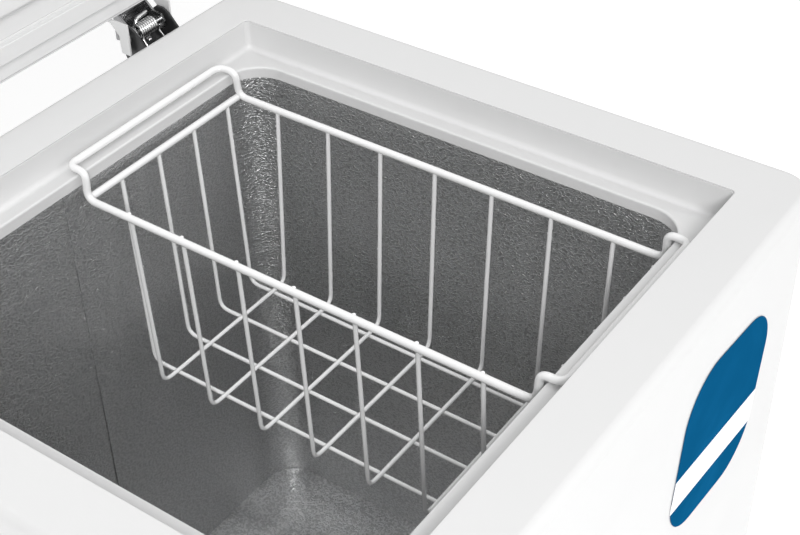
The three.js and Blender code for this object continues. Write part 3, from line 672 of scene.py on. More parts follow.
def lens_finish(name, colour):
    """A tinted moulded lens, glossy outside and slightly uneven within."""
    lens = Finish(name, colour, 0.12, coat=0.5)
    peel = lens.uses("peel", Scale=700.0)
    lens.bump(peel["Height"], 0.03 * MM, 0.3).gloss(peel["Gloss"], 0.06)
    return lens.tint(peel["Gloss"], shade(colour, 0.7), 0.6).material


def build_finishes(colours):
    """Every finish by a plain name."""
    enamel = tuple(colours.enamel)
    plastic = tuple(colours.plastic)
    wire = tuple(colours.wire)
    finishes.update(
        enamel=coated_finish(
            "White enamel", enamel, 0.34, ("peel", 650.0), (0.05, 0.35), 0.06, (5.0, 0.5),
            shade(enamel, 0.97), coat=0.15),
        plastic=coated_finish(
            "White moulded plastic", plastic, 0.42, ("peel", 1500.0), (0.04, 0.4), 0.08,
            (9.0, 0.5), shade(plastic, 0.965)),
        # Painted light: the lid lining is the same white plastic made lighter, 1.16 times its
        # colour with patches at 1.12 times, standing in for light on the lid's inner face.
        lining=coated_finish(
            "Formed lid lining", (*shade(plastic, 1.16), 1), 0.4, ("peel", 1100.0),
            (0.04, 0.4), 0.08, (7.0, 0.5), shade(plastic, 1.12)),
        black=coated_finish(
            "Black enamel", (0.016, 0.016, 0.017, 1), 0.38, ("peel", 800.0), (0.06, 0.5),
            0.12, (30.0, 0.6), (0.05, 0.05, 0.048)),
        bright=coated_finish(
            "Bright zinc plate", (0.72, 0.72, 0.72, 1), 0.17, ("drawn", 70.0), (0.012, 0.3),
            0.14, (60.0, 0.5), (0.50, 0.50, 0.49), metallic=1.0),
        leaf=coated_finish(
            "Dull zinc plate", (0.30, 0.30, 0.305, 1), 0.26, ("drawn", 40.0), (0.01, 0.2),
            0.1, (40.0, 0.6), (0.12, 0.12, 0.12), metallic=1.0),
        copper=coated_finish(
            "Copper pipe", (0.72, 0.31, 0.16, 1), 0.3, ("drawn", 90.0), (0.02, 0.4), 0.15,
            (25.0, 0.9), (0.30, 0.13, 0.08), metallic=1.0),
        rubber=coated_finish(
            "Black rubber", (0.022, 0.022, 0.022, 1), 0.72, ("peel", 1800.0), (0.08, 0.6),
            0.12, (20.0, 0.8), (0.07, 0.068, 0.064)),
        seal=coated_finish(
            "Lid seal", (0.72, 0.72, 0.72, 1), 0.5, ("peel", 1400.0), (0.05, 0.4), 0.1,
            (12.0, 0.6), (0.69, 0.69, 0.685)),
        wire=coated_finish(
            "Coated wire", wire, 0.24, ("peel", 500.0), (0.07, 0.4), 0.08, (30.0, 0.4),
            shade(wire, 0.96), coat=0.3),
        label=coated_finish(
            "Label blue", tuple(colours.label), 0.6, ("peel", 1200.0), (0.02, 0.3), 0.06,
            (14.0, 0.4), (0.008, 0.13, 0.30), specular=0.0),
        band=coated_finish(
            "Label white", (0.88, 0.89, 0.90, 1), 0.6, ("peel", 1200.0), (0.02, 0.3), 0.06,
            (14.0, 0.4), (0.84, 0.85, 0.86), specular=0.0),
        liner=stucco_finish(tuple(colours.liner)),
        foam=foam_finish(),
        zinc=zinc_finish(),
        green=lens_finish("Green lens", (0.02, 0.42, 0.08, 1)),
        red=lens_finish("Red lens", (0.55, 0.012, 0.012, 1)))


# ---- Cabinet ----
def arc_levels(inset_from, top, radius):
    """Insets and heights of a rounded outer edge, from its foot to its top."""
    return [(inset_from + radius * (1 - c), top - radius * (1 - s))
            for c, s in quarter_arc(8)]


def bore(piece, radius, reach, centre, axis, sides):
    """Drills a round hole through a piece, as far to each side of its centre."""
    carve(piece, Shape().turned([(radius, -reach), (radius, reach)], centre, axis, sides))


def cabinet_shell(sizes):
    steps = sizes.corner_steps
    foot = body_low.z
    reach = 5 * MM
    outside = [(SHEET, foot), (0.4 * MM, foot), (0.0, foot + 0.6 * MM)]
    outside += arc_levels(0.0, RIM, sizes.rim_round)
    inside = arc_levels(SHEET, RIM - SHEET, sizes.rim_round - SHEET)[::-1]
    inside.append((SHEET, foot + 1 * MM))
    edge = [(0.8, 0, 4.8), (0.2, 0.25, 4.2), (0, 0.8, 4), (0, SHEET / MM, 4)]
    rings = [outer_loop(inset, height, steps) for inset, height in outside]
    rings += [
        opening_loop(LEDGE_WIDTH + grow * MM, RIM - drop * MM, corner * MM, steps)
        for grow, drop, corner in edge]
    rings += [outer_loop(inset, height, steps) for inset, height in inside]
    piece = make_piece(
        "cabinet_shell", Shape().loft(rings, "ring"), finishes["enamel"], "cabinet",
        ["body_wrap"])
    back_low, back_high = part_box("back_panel")
    carve(piece, Shape().block(
        (back_low.x - GAP, back_high.y - reach, foot - reach),
        (back_high.x + GAP, back_high.y + reach, back_high.z + GAP)))
    grille_low, grille_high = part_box("side_vent_grille")
    carve(piece, Shape().block(
        (HALF_X - reach, grille_low.y - GAP, grille_low.z - GAP),
        (HALF_X + reach, grille_high.y + GAP, grille_high.z + GAP)))
    pocket = middle_of("control_bezel")
    half_wide, half_tall = mm(40, 20)
    carve(piece, Shape().block(
        (pocket.x - half_wide, body_low.y - reach, pocket.z - half_tall),
        (pocket.x + half_wide, body_low.y + reach, pocket.z + half_tall)))
    cap = middle_of("drain_cap")
    bore(piece, 10.3 * MM, reach, at(cap.x, body_low.y, cap.z), "Y", 32)


def rim_frame(sizes):
    """The plastic frame: step wall, ledge, lip and collar round the opening."""
    step_foot, wall, step_corner = mm(19.1, 1.4, 4.5)
    ledge = -STEP_DEPTH + LEDGE_RISE
    outline = [
        (20.2 * MM, -1.5 * MM), (step_foot, -STEP_DEPTH), (0.0, ledge),
        (0.0, -COLLAR_DROP), (wall, -COLLAR_DROP), (wall, ledge - 2.6 * MM),
        (21.1 * MM, -STEP_DEPTH - 2 * MM), (22.3 * MM, -1.5 * MM)]
    radii = [0.4 * MM, sizes.ledge_fillet, sizes.lip_round, *mm(0.4, 0.4, 0.6, 1, 0.4)]
    rings = []
    for grow, drop in rounded_profile(outline, radii, 7):
        share = min(max(grow / step_foot, 0.0), 1.0)
        ease = share * share * (3 - 2 * share)
        corner = OPENING_CORNER + (step_corner - OPENING_CORNER) * ease
        rings.append(opening_loop(grow, RIM + drop, corner, sizes.corner_steps))
    make_piece(
        "opening_frame", Shape().loft(rings, "ring"), finishes["plastic"], "cabinet",
        ["rim_frame"], smooth=50)


SEAM_X = -11.5 * MM


def seamed_loop(grow, z, groove, steps):
    """A loop of the liner wall with a narrow lap groove where the sheet's ends meet."""
    loop = opening_loop(grow, z, OPENING_CORNER + grow, steps)
    rear = loop[steps].y
    lap = [(2.2, 0), (0.7, 0), (0.5, 1), (-1.1, 1), (-1.3, 0), (-2.6, 0)]
    extra = [at(SEAM_X + across * MM, rear + deep * groove, z) for across, deep in lap]
    return loop[:steps + 1] + extra + loop[steps + 1:]


def liner_pieces(sizes):
    """Embossed walls, and the pan that makes the floor and the step over the compressor."""
    steps = sizes.corner_steps
    stand = LINER_STAND_BACK
    mouth = liner_high.z
    foot = FLOOR + 2 * MM
    groove, pan_gap, bend = mm(1, 0.1, 12)
    levels = [(stand, mouth, groove), (stand, foot, groove), (stand + SHEET, foot, 0.0),
              (stand + SHEET, mouth, 0.0)]
    rings = [seamed_loop(grow, z, deep, steps) for grow, z, deep in levels]
    make_piece(
        "liner_walls", Shape().loft(rings, "ring"), finishes["liner"], "cabinet",
        ["liner"])

    reach_x = OPENING_X + stand - pan_gap
    reach_y = OPENING_Y + stand - pan_gap
    top = [(-reach_x, FLOOR), (HUMP_LEFT, FLOOR), (HUMP_LEFT, HUMP_TOP), (reach_x, HUMP_TOP)]
    path = rounded_path([at(x, 0, z) for x, z in top], [0, bend, bend, 0], False, 7)
    sections = []
    for number, point in enumerate(path):
        before = path[max(number - 1, 0)]
        after = path[min(number + 1, len(path) - 1)]
        along = (after - before).normalized()
        upwards = at(-along.z, 0, along.x)
        sections.append([
            point + upwards * raised + at(0, OPENING_CENTRE + half * reach_y, 0)
            for half, raised in ((-1, 0.0), (1, 0.0), (1, -SHEET), (-1, -SHEET))])
    pan = make_piece(
        "liner_pan", Shape().loft(sections, "capped"), finishes["liner"], "cabinet")
    trim_outside(pan, reach_x, reach_y, OPENING_CORNER + stand, steps)
    drain = middle_of("drain_plug")
    bore(pan, 8 * MM, 20 * MM, at(drain.x, drain.y, FLOOR), "Z", 32)


def trim_outside(piece, reach_x, reach_y, corner, steps):
    """Rounds a sheet's vertical corners to follow the walls round it."""
    low, high = FLOOR - 10 * MM, HUMP_TOP + 10 * MM
    past, past_corner = mm(100, 20)
    inner = [corner_loop(reach_x, reach_y, corner, z, OPENING_CENTRE, steps)
             for z in (low, high)]
    outer = [
        corner_loop(reach_x + past, reach_y + past, past_corner, z, OPENING_CENTRE, steps)
        for z in (high, low)]
    carve(piece, Shape().loft(inner + outer, "ring"))


# ---- Lid ----
def lid_skin(steps):
    """The lid's coated steel: a shallow box with rounded upper edges and a turned-in foot."""
    edge_run, edge_fall, crown = mm(14, 13, 32)
    curve = [(edge_run * (1 - c), LID_TOP - edge_fall + edge_fall * s)
             for c, s in quarter_arc(8)]
    outside = [(crown, LID_TOP), *reversed(curve), (0.0, LID_BOTTOM + 0.6 * MM),
               (0.5 * MM, LID_BOTTOM)]
    inside = [(LID_SKIN - 0.2 * MM, LID_BOTTOM), (LID_SKIN, LID_BOTTOM + 0.4 * MM)]
    inside += [(inset + LID_SKIN, z - LID_SKIN) for inset, z in curve]
    inside.append((crown, LID_TOP - LID_SKIN - 0.2 * MM))
    rings = [lid_loop(inset, z, max(LID_CORNER - inset, 4 * MM), steps)
             for inset, z in outside + inside]
    make_piece("lid_outer", Shape().loft(rings, "capped"), finishes["enamel"], "lid",
               ["lid_shell"], smooth=50)


def lid_lining(steps):
    """The formed inner panel, with a raised tray inside its flat border."""
    tray, drop, narrowing = 50 * MM, 12 * MM, 0.09
    edge = LID_SKIN + GAP
    low, high = LID_BOTTOM - drop, LID_BOTTOM + LID_SKIN
    outline = [
        (tray + 16 * MM, low), (tray + 8.5 * MM, low), (tray + 0.5 * MM, LID_BOTTOM),
        (edge, LID_BOTTOM), (edge, high), (tray, high), (tray + 8 * MM, low + LID_SKIN),
        (tray + 16 * MM, low + LID_SKIN)]
    path = rounded_path(
        [at(a, b, 0) for a, b in outline], mm(0, 4, 4, 0.5, 0.5, 4, 4, 0), False, 5)
    rings = [lid_loop(p.x, p.y, LID_CORNER - 2 * MM - p.x * narrowing, steps) for p in path]
    make_piece("lid_lining", Shape().loft(rings, "capped"), finishes["lining"], "lid",
               ["lid_inner"], smooth=50)


def lid_seal(steps):
    """The folded magnetic seal, a hollow bellows in section."""
    first, wide, corner, narrowing = 18 * MM, 16, 14 * MM, 0.37
    top = (LID_BOTTOM - GAP) / MM
    foot = 0.6
    fold = [
        (0, top), (wide, top), (wide, top - 1), (wide - 2.8, top - 1.9),
        (wide - 0.6, top - 3), (wide - 2.2, top - 4), (wide - 0.8, top - 4.7),
        (wide - 0.8, foot), (1, foot), (1, top - 4.7), (2.4, top - 4), (0.6, top - 3),
        (2.8, top - 1.9), (0, top - 1)]
    rings = [
        lid_loop(first + across, z, corner - across * narrowing, steps)
        for across, z in rounded_profile([mm(*pair) for pair in fold], 0.7 * MM, 3)]
    make_piece("lid_seal", Shape().loft(rings, "ring"), finishes["seal"], "lid",
               ["lid_gasket"], smooth=60)


def lid_grip():
    """The moulded handle across the front edge, hollow below for the fingers."""
    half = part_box("lid_grip")[1].x
    front = BODY_Y - HALF_Y - LID_OVERHANG - GAP - HINGE.y
    low = LID_BOTTOM + PIVOT_BELOW_RIM
    # How far out from the lid's front, and how far above its foot, in millimetres.
    outline = [(0, 4), (0, 34), (6, 34), (20, 22), (20, 6), (15, 6), (15, 18), (5, 26), (5, 4)]
    section = rounded_profile(
        [(front - out * MM, low + up * MM) for out, up in outline],
        mm(0.4, 1, 6, 6, 2, 2, 4, 4, 1), 5)
    grip = Shape().slab(
        section, 2 * half, lambda a, b, depth: lid_point(at(depth - half, a, b)))
    make_piece("grip_handle", grip, finishes["plastic"], "lid",
               ["lid_grip"], bevel=1.2 * MM, smooth=40)


def lid_pieces(sizes):
    lid_skin(sizes.corner_steps)
    lid_lining(sizes.corner_steps)
    lid_seal(sizes.corner_steps)
    lid_grip()
    keep_cad("lid_foam", finishes["foam"])


# ---- Hinges ----
def screw_shape():
    """A pan-head screw pointing down, its head above the origin."""
    head, head_tall, stem, axis = mm(4, 2.3, 2, 0.05)
    pitch, thread = mm(0.65, 0.3)
    profile = [(0.3 * MM, -14 * MM), (stem * 0.5, -13 * MM), (stem, -11 * MM)]
    for k in range(16):
        z = -11 * MM + k * pitch
        profile += [(stem, z), (stem - thread, z + 0.32 * MM)]
    profile += [(stem, -0.3 * MM), (stem, 0), (head, 0)]
    profile += [(max(head * c, axis), head_tall * s + 0.02 * MM) for c, s in quarter_arc(5)[1:]]
    return Shape().turned(profile, at(0, 0, 0), "Z", 28)


def hinge_pieces():
    for side in ("left", "right"):
        x = middle_of(f"hinge_body_{side}").x
        keep_cad(f"hinge_body_{side}", finishes["black"], 0.6 * MM, 3)
        keep_cad(f"hinge_leaf_{side}", finishes["leaf"], 0.5 * MM, 3)
        hinge_shroud(side)
        hinge_pin(side, x)
        hinge_spring(side, x)
        hinge_lever(side, x)
        hinge_bridge(side, x)
        for number in (1, 2):
            for kind, body in (("body", "cabinet"), ("lid", "lid")):
                screw_piece(f"{kind}_screw_{side}_{number}", body)


def from_hinge(x, across, y, z):
    """A point measured in millimetres from the hinge line, at a hinge's own x."""
    return at(x + across * MM, HINGE.y + y * MM, HINGE.z + z * MM)


def hinge_shroud(side):
    """The moulded cover: two cheeks cut away below, joined by a strip along the lid."""
    low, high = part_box(f"hinge_cover_{side}")
    y, z = HINGE.y, HINGE.z
    wall = 1.8 * MM
    strip = high.z - 3 * MM
    profile = rounded_profile(
        [(low.y, low.z), (y + 4 * MM, low.z), (y + 4.5 * MM, z + 2.9 * MM),
         (y + 13 * MM, strip), (high.y, strip), (high.y, high.z), (low.y, high.z)],
        mm(1, 1, 2, 2, 0.8, 0.4, 0.4), 4)
    shroud = make_piece(
        f"hinge_shroud_{side}",
        Shape().slab(profile, high.x - low.x, lambda a, b, depth: at(low.x + depth, a, b)),
        finishes["plastic"], "lid", [f"hinge_cover_{side}"], bevel=0.3 * MM,
        segments=2)
    carve(shroud, Shape().block(
        (low.x + wall, low.y - wall, low.z - wall),
        (high.x - wall, high.y - wall, high.z + wall)))


def screw_piece(cad_name, body):
    """One screw with a cross slot, its head where the frame has it."""
    low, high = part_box(cad_name)
    middle = (low + high) / 2
    head_tall = 2.4 * MM
    if body == "cabinet":
        turn = Matrix.Rotation(-QUARTER, 3, "X")
        head = at(middle.x, high.y - head_tall, middle.z)
    else:
        turn = Matrix.Rotation(math.pi, 3, "X")
        head = at(middle.x, middle.y, low.z + head_tall)
    shape = screw_shape()
    shape.points = [head + turn @ point for point in shape.points]
    piece = make_piece(
        cad_name.replace("screw", "fixing_screw"), shape, finishes["bright"], body,
        [cad_name], smooth=40)
    outward = turn @ at(0, 0, 1)
    slot_low, slot_half, slot_wide, slot_deep = mm(1.2, 2.1, 0.4, 2)
    for across in (turn @ at(1, 0, 0), turn @ at(0, 1, 0)):
        other = outward.cross(across)
        carve(piece, Shape().loft([
            [head + outward * up + across * slot_half * a + other * slot_wide * b
             for a, b in ((-1, -1), (1, -1), (1, 1), (-1, 1))]
            for up in (slot_low, slot_low + slot_deep)], "capped"))


def hinge_pin(side, x):
    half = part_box(f"hinge_pin_{side}")[1].x - x
    stem, head = mm(2.9, 5)
    left = [(0.1 * MM, -half), (head - 0.8 * MM, -half), (head, -half + 0.7 * MM),
            (head, -half + 1.7 * MM), (stem, -half + 1.8 * MM)]
    right = [(r, -h) for r, h in reversed(left)]
    make_piece(
        f"pivot_pin_{side}", Shape().turned(left + right, at(x, HINGE.y, HINGE.z), "X", 32),
        finishes["bright"], "cabinet", [f"hinge_pin_{side}"], smooth=40)


def hinge_spring(side, x):
    """A close-wound torsion spring round the pin, with both arms down to the body bracket."""
    wire, mean, half = 1.1 * MM, 6, 9.6
    turns, per_turn = 8, 20
    count = turns * per_turn
    path = [from_hinge(x, -half - 1, -15, -15), from_hinge(x, -half, -mean, -5)]
    for i in range(count + 1):
        angle = math.pi + i / per_turn * 2 * math.pi
        path.append(from_hinge(
            x, 2 * half * i / count - half, mean * math.cos(angle), -mean * math.sin(angle)))
    path += [from_hinge(x, half, -mean, -5), from_hinge(x, half + 1, -15, -15)]
    make_piece(
        f"balance_spring_{side}", Shape().rod(path, wire, 10), finishes["bright"], "cabinet",
        [f"hinge_spring_{side}"], smooth=60)


def hinge_bridge(side, x):
    """The black plate that ties the bracket's cheeks below the spring, with a rivet."""
    half = 18.4
    shape = Shape().block(from_hinge(x, -half, -9, -12.6), from_hinge(x, half, 7, -11))
    rivet = [(0.1, -0.4), (2.6, -0.4), (2.6, 0.3), (1.8, 1.3), (0.1, 1.7)]
    shape.turned([mm(*pair) for pair in rivet], from_hinge(x, 2, -1, -11), "Z", 20, 1)
    make_piece(f"hinge_bridge_{side}", shape, [finishes["black"], finishes["bright"]],
               "cabinet", bevel=0.3 * MM, segments=2, smooth=40)


def hinge_lever(side, x):
    """The bent strap that carries the spring's push across to the lid leaf."""
    line = rounded_path(
        [from_hinge(x, -13.5, 8.5, -4), from_hinge(x, -5, 8.5, -3),
         from_hinge(x, 1, 9.5, 5.5), from_hinge(x, 12, 9.5, 6.5)], 5 * MM, False, 6)
    make_piece(
        f"hinge_strap_{side}", Shape().rod(line, 1.9 * MM, 12), finishes["bright"], "lid",
        smooth=60)


# ---- Basket ----
def basket(sizes):
    """One bent wire for the frame and both handles, two cross rods, and the thin hoops."""
    low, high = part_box("wire_basket")
    thick, thin = sizes.frame_wire, sizes.thin_wire
    weld, handle_out, handle_drop, lean, floor_bite = mm(0.6, 17.1, 22.8, 2, 0.7)
    hook = thick + thin - weld
    left = low.x + hook + thin
    right = high.x - hook - thin
    handle_z = high.z - thick
    back = high.y - thick - handle_out
    front = low.y + thick + handle_out
    top = handle_z - handle_drop
    bottom = low.z + 2 * thin - floor_bite + thin
    shape = Shape()
    corners = [
        (left + lean, back + handle_out, handle_z, 9), (left + lean, back, handle_z, 7),
        (left, back, top, 9), (left, front, top, 9), (left + lean, front, handle_z, 7),
        (left + lean, front - handle_out, handle_z, 9),
        (right - lean, front - handle_out, handle_z, 9), (right - lean, front, handle_z, 7),
        (right, front, top, 9), (right, back, top, 9), (right - lean, back, handle_z, 7),
        (right - lean, back + handle_out, handle_z, 9)]
    loop = rounded_path(
        [at(x, y, z) for x, y, z, _ in corners], mm(*(bend for *_, bend in corners)), True, 7)
    shape.rod(loop, thick, 14, closed=True)
    for y in (front, back):
        shape.rod([at(left + 1 * MM, y, top), at(right - 1 * MM, y, top)], thick, 14)

    side_margin, side_taper = mm(40.9, 9.5)
    pitch = (back - front - 2 * side_margin) / (sizes.side_wires - 1)
    for i in range(sizes.side_wires):
        y = (front + back) / 2 + (i - (sizes.side_wires - 1) / 2) * pitch
        shape.rod(hoop_path(
            lambda across, z, y=y: at(across, y, z), left, right, top, bottom, side_taper,
            hook), thin, 10)
    left_margin, right_margin, end_lean, end_taper = mm(35.4, 16.2, 7.5, 15)
    spacing = (right - left - left_margin - right_margin) / (sizes.end_wires - 1)
    lowest = low.z + thin
    for i in range(sizes.end_wires):
        x = left + left_margin + i * spacing
        shape.rod(hoop_path(
            lambda along, z, x=x: at(x - end_lean * (top - z) / (top - lowest), along, z),
            front, back, top, lowest, end_taper, hook), thin, 10)
    make_piece("basket_wires", shape, finishes["wire"], "basket",
               ["wire_basket"], smooth=60)


def hoop_path(place, near, far, top, bottom, taper, hook):
    """A thin wire welded to the frame at both ends, and bent twice at the bottom."""
    points = [
        (near + hook * 0.3, top + hook * 0.62, 0), (near + hook * 0.55, top - 2 * MM, 2),
        (near + taper, bottom, 10), (far - taper, bottom, 10),
        (far - hook * 0.2, top - 2 * MM, 2), (far, top + 1 * MM, 0)]
    return rounded_path(
        [place(a, z) for a, z, _ in points], [radius * MM for _, _, radius in points],
        False, 5)


# ---- Front label ----
def front_label():
    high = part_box("front_label")[1]
    centre = middle_of("front_label")
    tilt = math.radians(6)
    half_wide, half_tall, raised, corner = mm(65, 70, 5, 40)
    band_low, band_high = mm(-35, -6)

    def place(a, b, depth):
        return at(centre.x + a * math.cos(tilt) + b * math.sin(tilt), high.y - depth,
                  centre.z - a * math.sin(tilt) + b * math.cos(tilt))

    outline = rounded_plate(half_wide, half_tall, corner, raised, 10)
    shape = Shape().slab(outline, 0.35 * MM, place)
    band = [(-half_wide, band_low), (half_wide, band_low), (half_wide, band_high),
            (-half_wide, band_high)]
    shape.slab(rounded_profile(band, 0.5 * MM, 2), 0.5 * MM, place, 1)
    make_piece("blue_sticker", shape, [finishes["label"], finishes["band"]], "cabinet",
               ["front_label"], bevel=0.08 * MM, segments=2)


# ---- Controls ----
def fluted_rings(levels, centre, sides, flute):
    """Rings along Y from radius, place and share of the flute, which turns an angle to a depth."""
    rings = []
    for radius, y, share in levels:
        ring = []
        for k in range(sides):
            angle = 2 * math.pi * k / sides
            reach = radius - share * flute(angle)
            ring.append(at(centre.x + reach * math.cos(angle), y,
                           centre.z + reach * math.sin(angle)))
        rings.append(ring)
    return rings


def control_panel(knob, face):
    """The bezel with its raised edge, bored for the lamps and the thermostat's shaft."""
    low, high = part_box("control_bezel")
    centre = (low + high) / 2
    half_wide = (high.x - low.x) / 2
    half_tall = (high.z - low.z) / 2
    rings = []
    for inset, corner, out in (
            (0, 8, 0), (0, 8, 1.4), (0.3, 7.7, 2.3), (1.2, 7, 3), (3.6, 5.2, 3),
            (4.2, 4.8, 2.4), (8, 2, 2.3)):
        outline = rounded_plate(
            half_wide - inset * MM, half_tall - inset * MM, corner * MM, 0, 8)
        rings.append([at(centre.x + a, face - out * MM, centre.z + b) for a, b in outline])
    panel = make_piece(
        "control_panel", Shape().loft(rings, "capped"), finishes["plastic"], "cabinet",
        ["control_bezel"], smooth=40)
    for spot, radius in ((middle_of("lamp_running"), 3.8), (middle_of("lamp_warm"), 3.8),
                         (knob, 4.3)):
        bore(panel, radius * MM, 9 * MM, at(spot.x, face, spot.z), "Y", 24)


def dial_marks(knob, face):
    """Raised strokes round the dial, the longer ones at its ends and middle."""
    count, first, pitch, ring = 11, -135, 27, 17.6
    marks = Shape()
    for k in range(count):
        angle = math.radians(first + pitch * k)
        direction = at(math.sin(angle), 0, math.cos(angle))
        across = at(math.cos(angle), 0, -math.sin(angle)) * 0.3 * MM
        start = at(knob.x, face - 2.2 * MM, knob.z) + direction * ring * MM
        along = direction * (1.7 if k % 5 else 2.6) * MM
        marks.loft([
            [start + along * a + across * b + at(0, -depth, 0)
             for a, b in ((0, -1), (1, -1), (1, 1), (0, 1))] for depth in (0, 0.4 * MM)],
            "capped")
    make_piece("dial_marks", marks, finishes["label"], "cabinet",
               bevel=0.06 * MM, segments=1)


def thermostat_dial(knob, back):
    """The fluted knob and its pointer."""
    radius, flute = mm(16, 0.45)
    levels = [(0.96, 0.0, 0.0), (1.0, 0.6, 0.0), (1.0, 3.0, 0.0), (0.965, 4.0, 1.0),
              (0.93, 12.0, 1.0), (0.88, 13.7, 0.6), (0.80, 14.5, 0.0), (0.50, 14.2, 0.0),
              (0.02, 14.1, 0.0)]
    shape = Shape().loft(fluted_rings(
        [(radius * share, back - out * MM, fluting) for share, out, fluting in levels],
        knob, 120, lambda angle: flute * (1 - math.cos(24 * angle))), "capped")
    shape.slab(rounded_plate(*mm(1.6, 6, 1.6, 7), 5), 2 * MM,
               lambda a, b, depth: at(knob.x + a, back - 13.6 * MM - depth, knob.z + b), 1)
    make_piece("thermostat_dial", shape, [finishes["plastic"], finishes["label"]],
               "thermostat_knob", ["thermostat_knob"], smooth=50)


def lamp_lens(lamp, colour):
    spot = middle_of(lamp)
    profile = [(3.5, -8), (3.5, 3.6), (4, 3.6)]
    profile += [(4 * c + 0.02, 4 + 1.6 * s) for c, s in quarter_arc(6)]
    make_piece(
        lamp.replace("lamp", "lens"),
        Shape().turned([mm(*pair) for pair in profile], at(spot.x, body_low.y, spot.z), "Y", 28),
        finishes[colour], "cabinet", [lamp], smooth=50)


def control_pieces():
    knob = middle_of("thermostat_knob")
    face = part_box("control_bezel")[1].y
    control_panel(knob, face)
    dial_marks(knob, face)
    thermostat_dial(knob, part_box("thermostat_knob")[1].y)
    lamp_lens("lamp_running", "green")
    lamp_lens("lamp_warm", "red")
    keep_cad("thermostat", finishes["zinc"], 0.5 * MM)


# ---- Drain ----
def floor_plug():
    middle = middle_of("drain_plug")
    low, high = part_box("drain_plug")
    floor, top, foot, bore_radius = FLOOR / MM, high.z / MM, low.z / MM, 7.4
    profile = [
        (0.1, foot), (bore_radius - 0.6, foot), (bore_radius, foot + 0.8),
        (bore_radius, floor - 1), (bore_radius, floor + 0.2),
        (bore_radius + 4.6, floor + 0.3), (bore_radius + 5, floor + 1),
        (bore_radius + 4.4, floor + 2.2), (bore_radius + 2, floor + 2.9), (4, floor + 3),
        (3.1, floor + 3.6), (2.9, top - 2.6), (3.6, top - 1.8), (3.6, top - 0.7),
        (2.8, top), (0.1, top)]
    make_piece("floor_plug",
               Shape().turned([mm(*pair) for pair in profile], at(middle.x, middle.y, 0),
                              "Z", 36),
               finishes["rubber"], "drain_plug", ["drain_plug"], smooth=45)


def outlet_cap():
    """The fluted cap on the drain's outlet, with a raised bar to turn it by."""
    spot = middle_of("drain_cap")
    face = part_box("drain_cap")[0].y
    flute = 0.3 * MM
    levels = [(0.02, 0.0, 0), (6.0, 0.0, 0), (10.5, 0.3, 0), (12.6, 1.2, 1), (13.6, 2.2, 1),
              (13.8, 4.2, 1), (7.4, 4.5, 0), (7.2, 13.0, 0), (0.02, 13.6, 0)]
    shape = Shape().loft(fluted_rings(
        [(radius * MM, face + deep * MM, fluting) for radius, deep, fluting in levels],
        spot, 96, lambda angle: flute * (1 + math.cos(24 * angle)) / 2), "capped")
    shape.slab(rounded_plate(*mm(8.5, 1.5, 1.5, 0), 5), 0.8 * MM,
               lambda a, b, depth: at(spot.x + a, face + 0.1 * MM + depth, spot.z + b))
    make_piece("outlet_cap", shape, finishes["plastic"], "drain_cap",
               ["drain_cap"], smooth=45)


def drain_pieces():
    floor_plug()
    outlet_cap()
    keep_cad("drain_tube", finishes["plastic"])


# ---- Vents, back and feet ----
def side_vent():
    """The side grille, with a window for each slanted blade behind it."""
    low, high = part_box("side_vent_grille")
    outline = rounded_profile(
        [(low.y, low.z), (high.y, low.z), (high.y, high.z), (low.y, high.z)], 2 * MM, 4)
    grille = make_piece(
        "side_louvres",
        Shape().slab(outline, high.x - low.x - 0.2 * MM,
                     lambda a, b, depth: at(low.x + depth, a, b)),
        finishes["plastic"], "cabinet", ["side_vent_grille"],
        bevel=0.5 * MM, segments=2)
    first, pitch, tall, margin = mm(11.7, 15, 8, 12)
    front, back = low.y + margin, high.y - margin
    blades = Shape()
    for row in range(8):
        z = low.z + first + pitch * row
        window = rounded_profile(
            [(front, z), (back, z), (back, z + tall), (front, z + tall)], 3 * MM, 4)
        carve(grille, Shape().slab(
            window, 20 * MM, lambda a, b, depth: at(low.x - 8 * MM + depth, a, b)))
        blade = rounded_profile(
            [(low.x + 0.3 * MM, z + 4.2 * MM), (high.x - 0.8 * MM, z + 1 * MM),
             (high.x - 0.5 * MM, z + 2.2 * MM), (low.x + 0.3 * MM, z + 5.6 * MM)], 0.3 * MM, 3)
        blades.slab(blade, high.y - low.y - 23 * MM,
                    lambda a, b, depth: at(a, low.y + 11.5 * MM + depth, b))
    make_piece("louvre_blades", blades, finishes["plastic"], "cabinet")


def rubber_foot(name):
    middle = middle_of(name)
    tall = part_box(name)[1].z / MM
    profile = [
        (0.1, 1.2), (9, 1.2), (10, 0), (15.2, 0), (16.6, 0.6), (17, 1.8), (16.5, 5),
        (15.9, 5.4), (15.9, 6.6), (16.2, 7), (15.4, tall - 1), (14.6, tall), (0.1, tall)]
    make_piece(name.replace("foot", "rubber_foot"),
               Shape().turned([mm(*pair) for pair in profile], at(middle.x, middle.y, 0),
                              "Z", 40),
               finishes["rubber"], "cabinet", [name], smooth=40)


def vent_pieces():
    side_vent()
    keep_cad("compartment_back_cover", finishes["zinc"], 0.3 * MM)
    keep_cad("back_panel", finishes["zinc"], 0.3 * MM)
    keep_cad("base_pan", finishes["zinc"])
    keep_cad("cord_gland", finishes["rubber"], 0.6 * MM, 3)
    for end in ("front", "back"):
        for side in ("left", "right"):
            rubber_foot(f"foot_{end}_{side}")


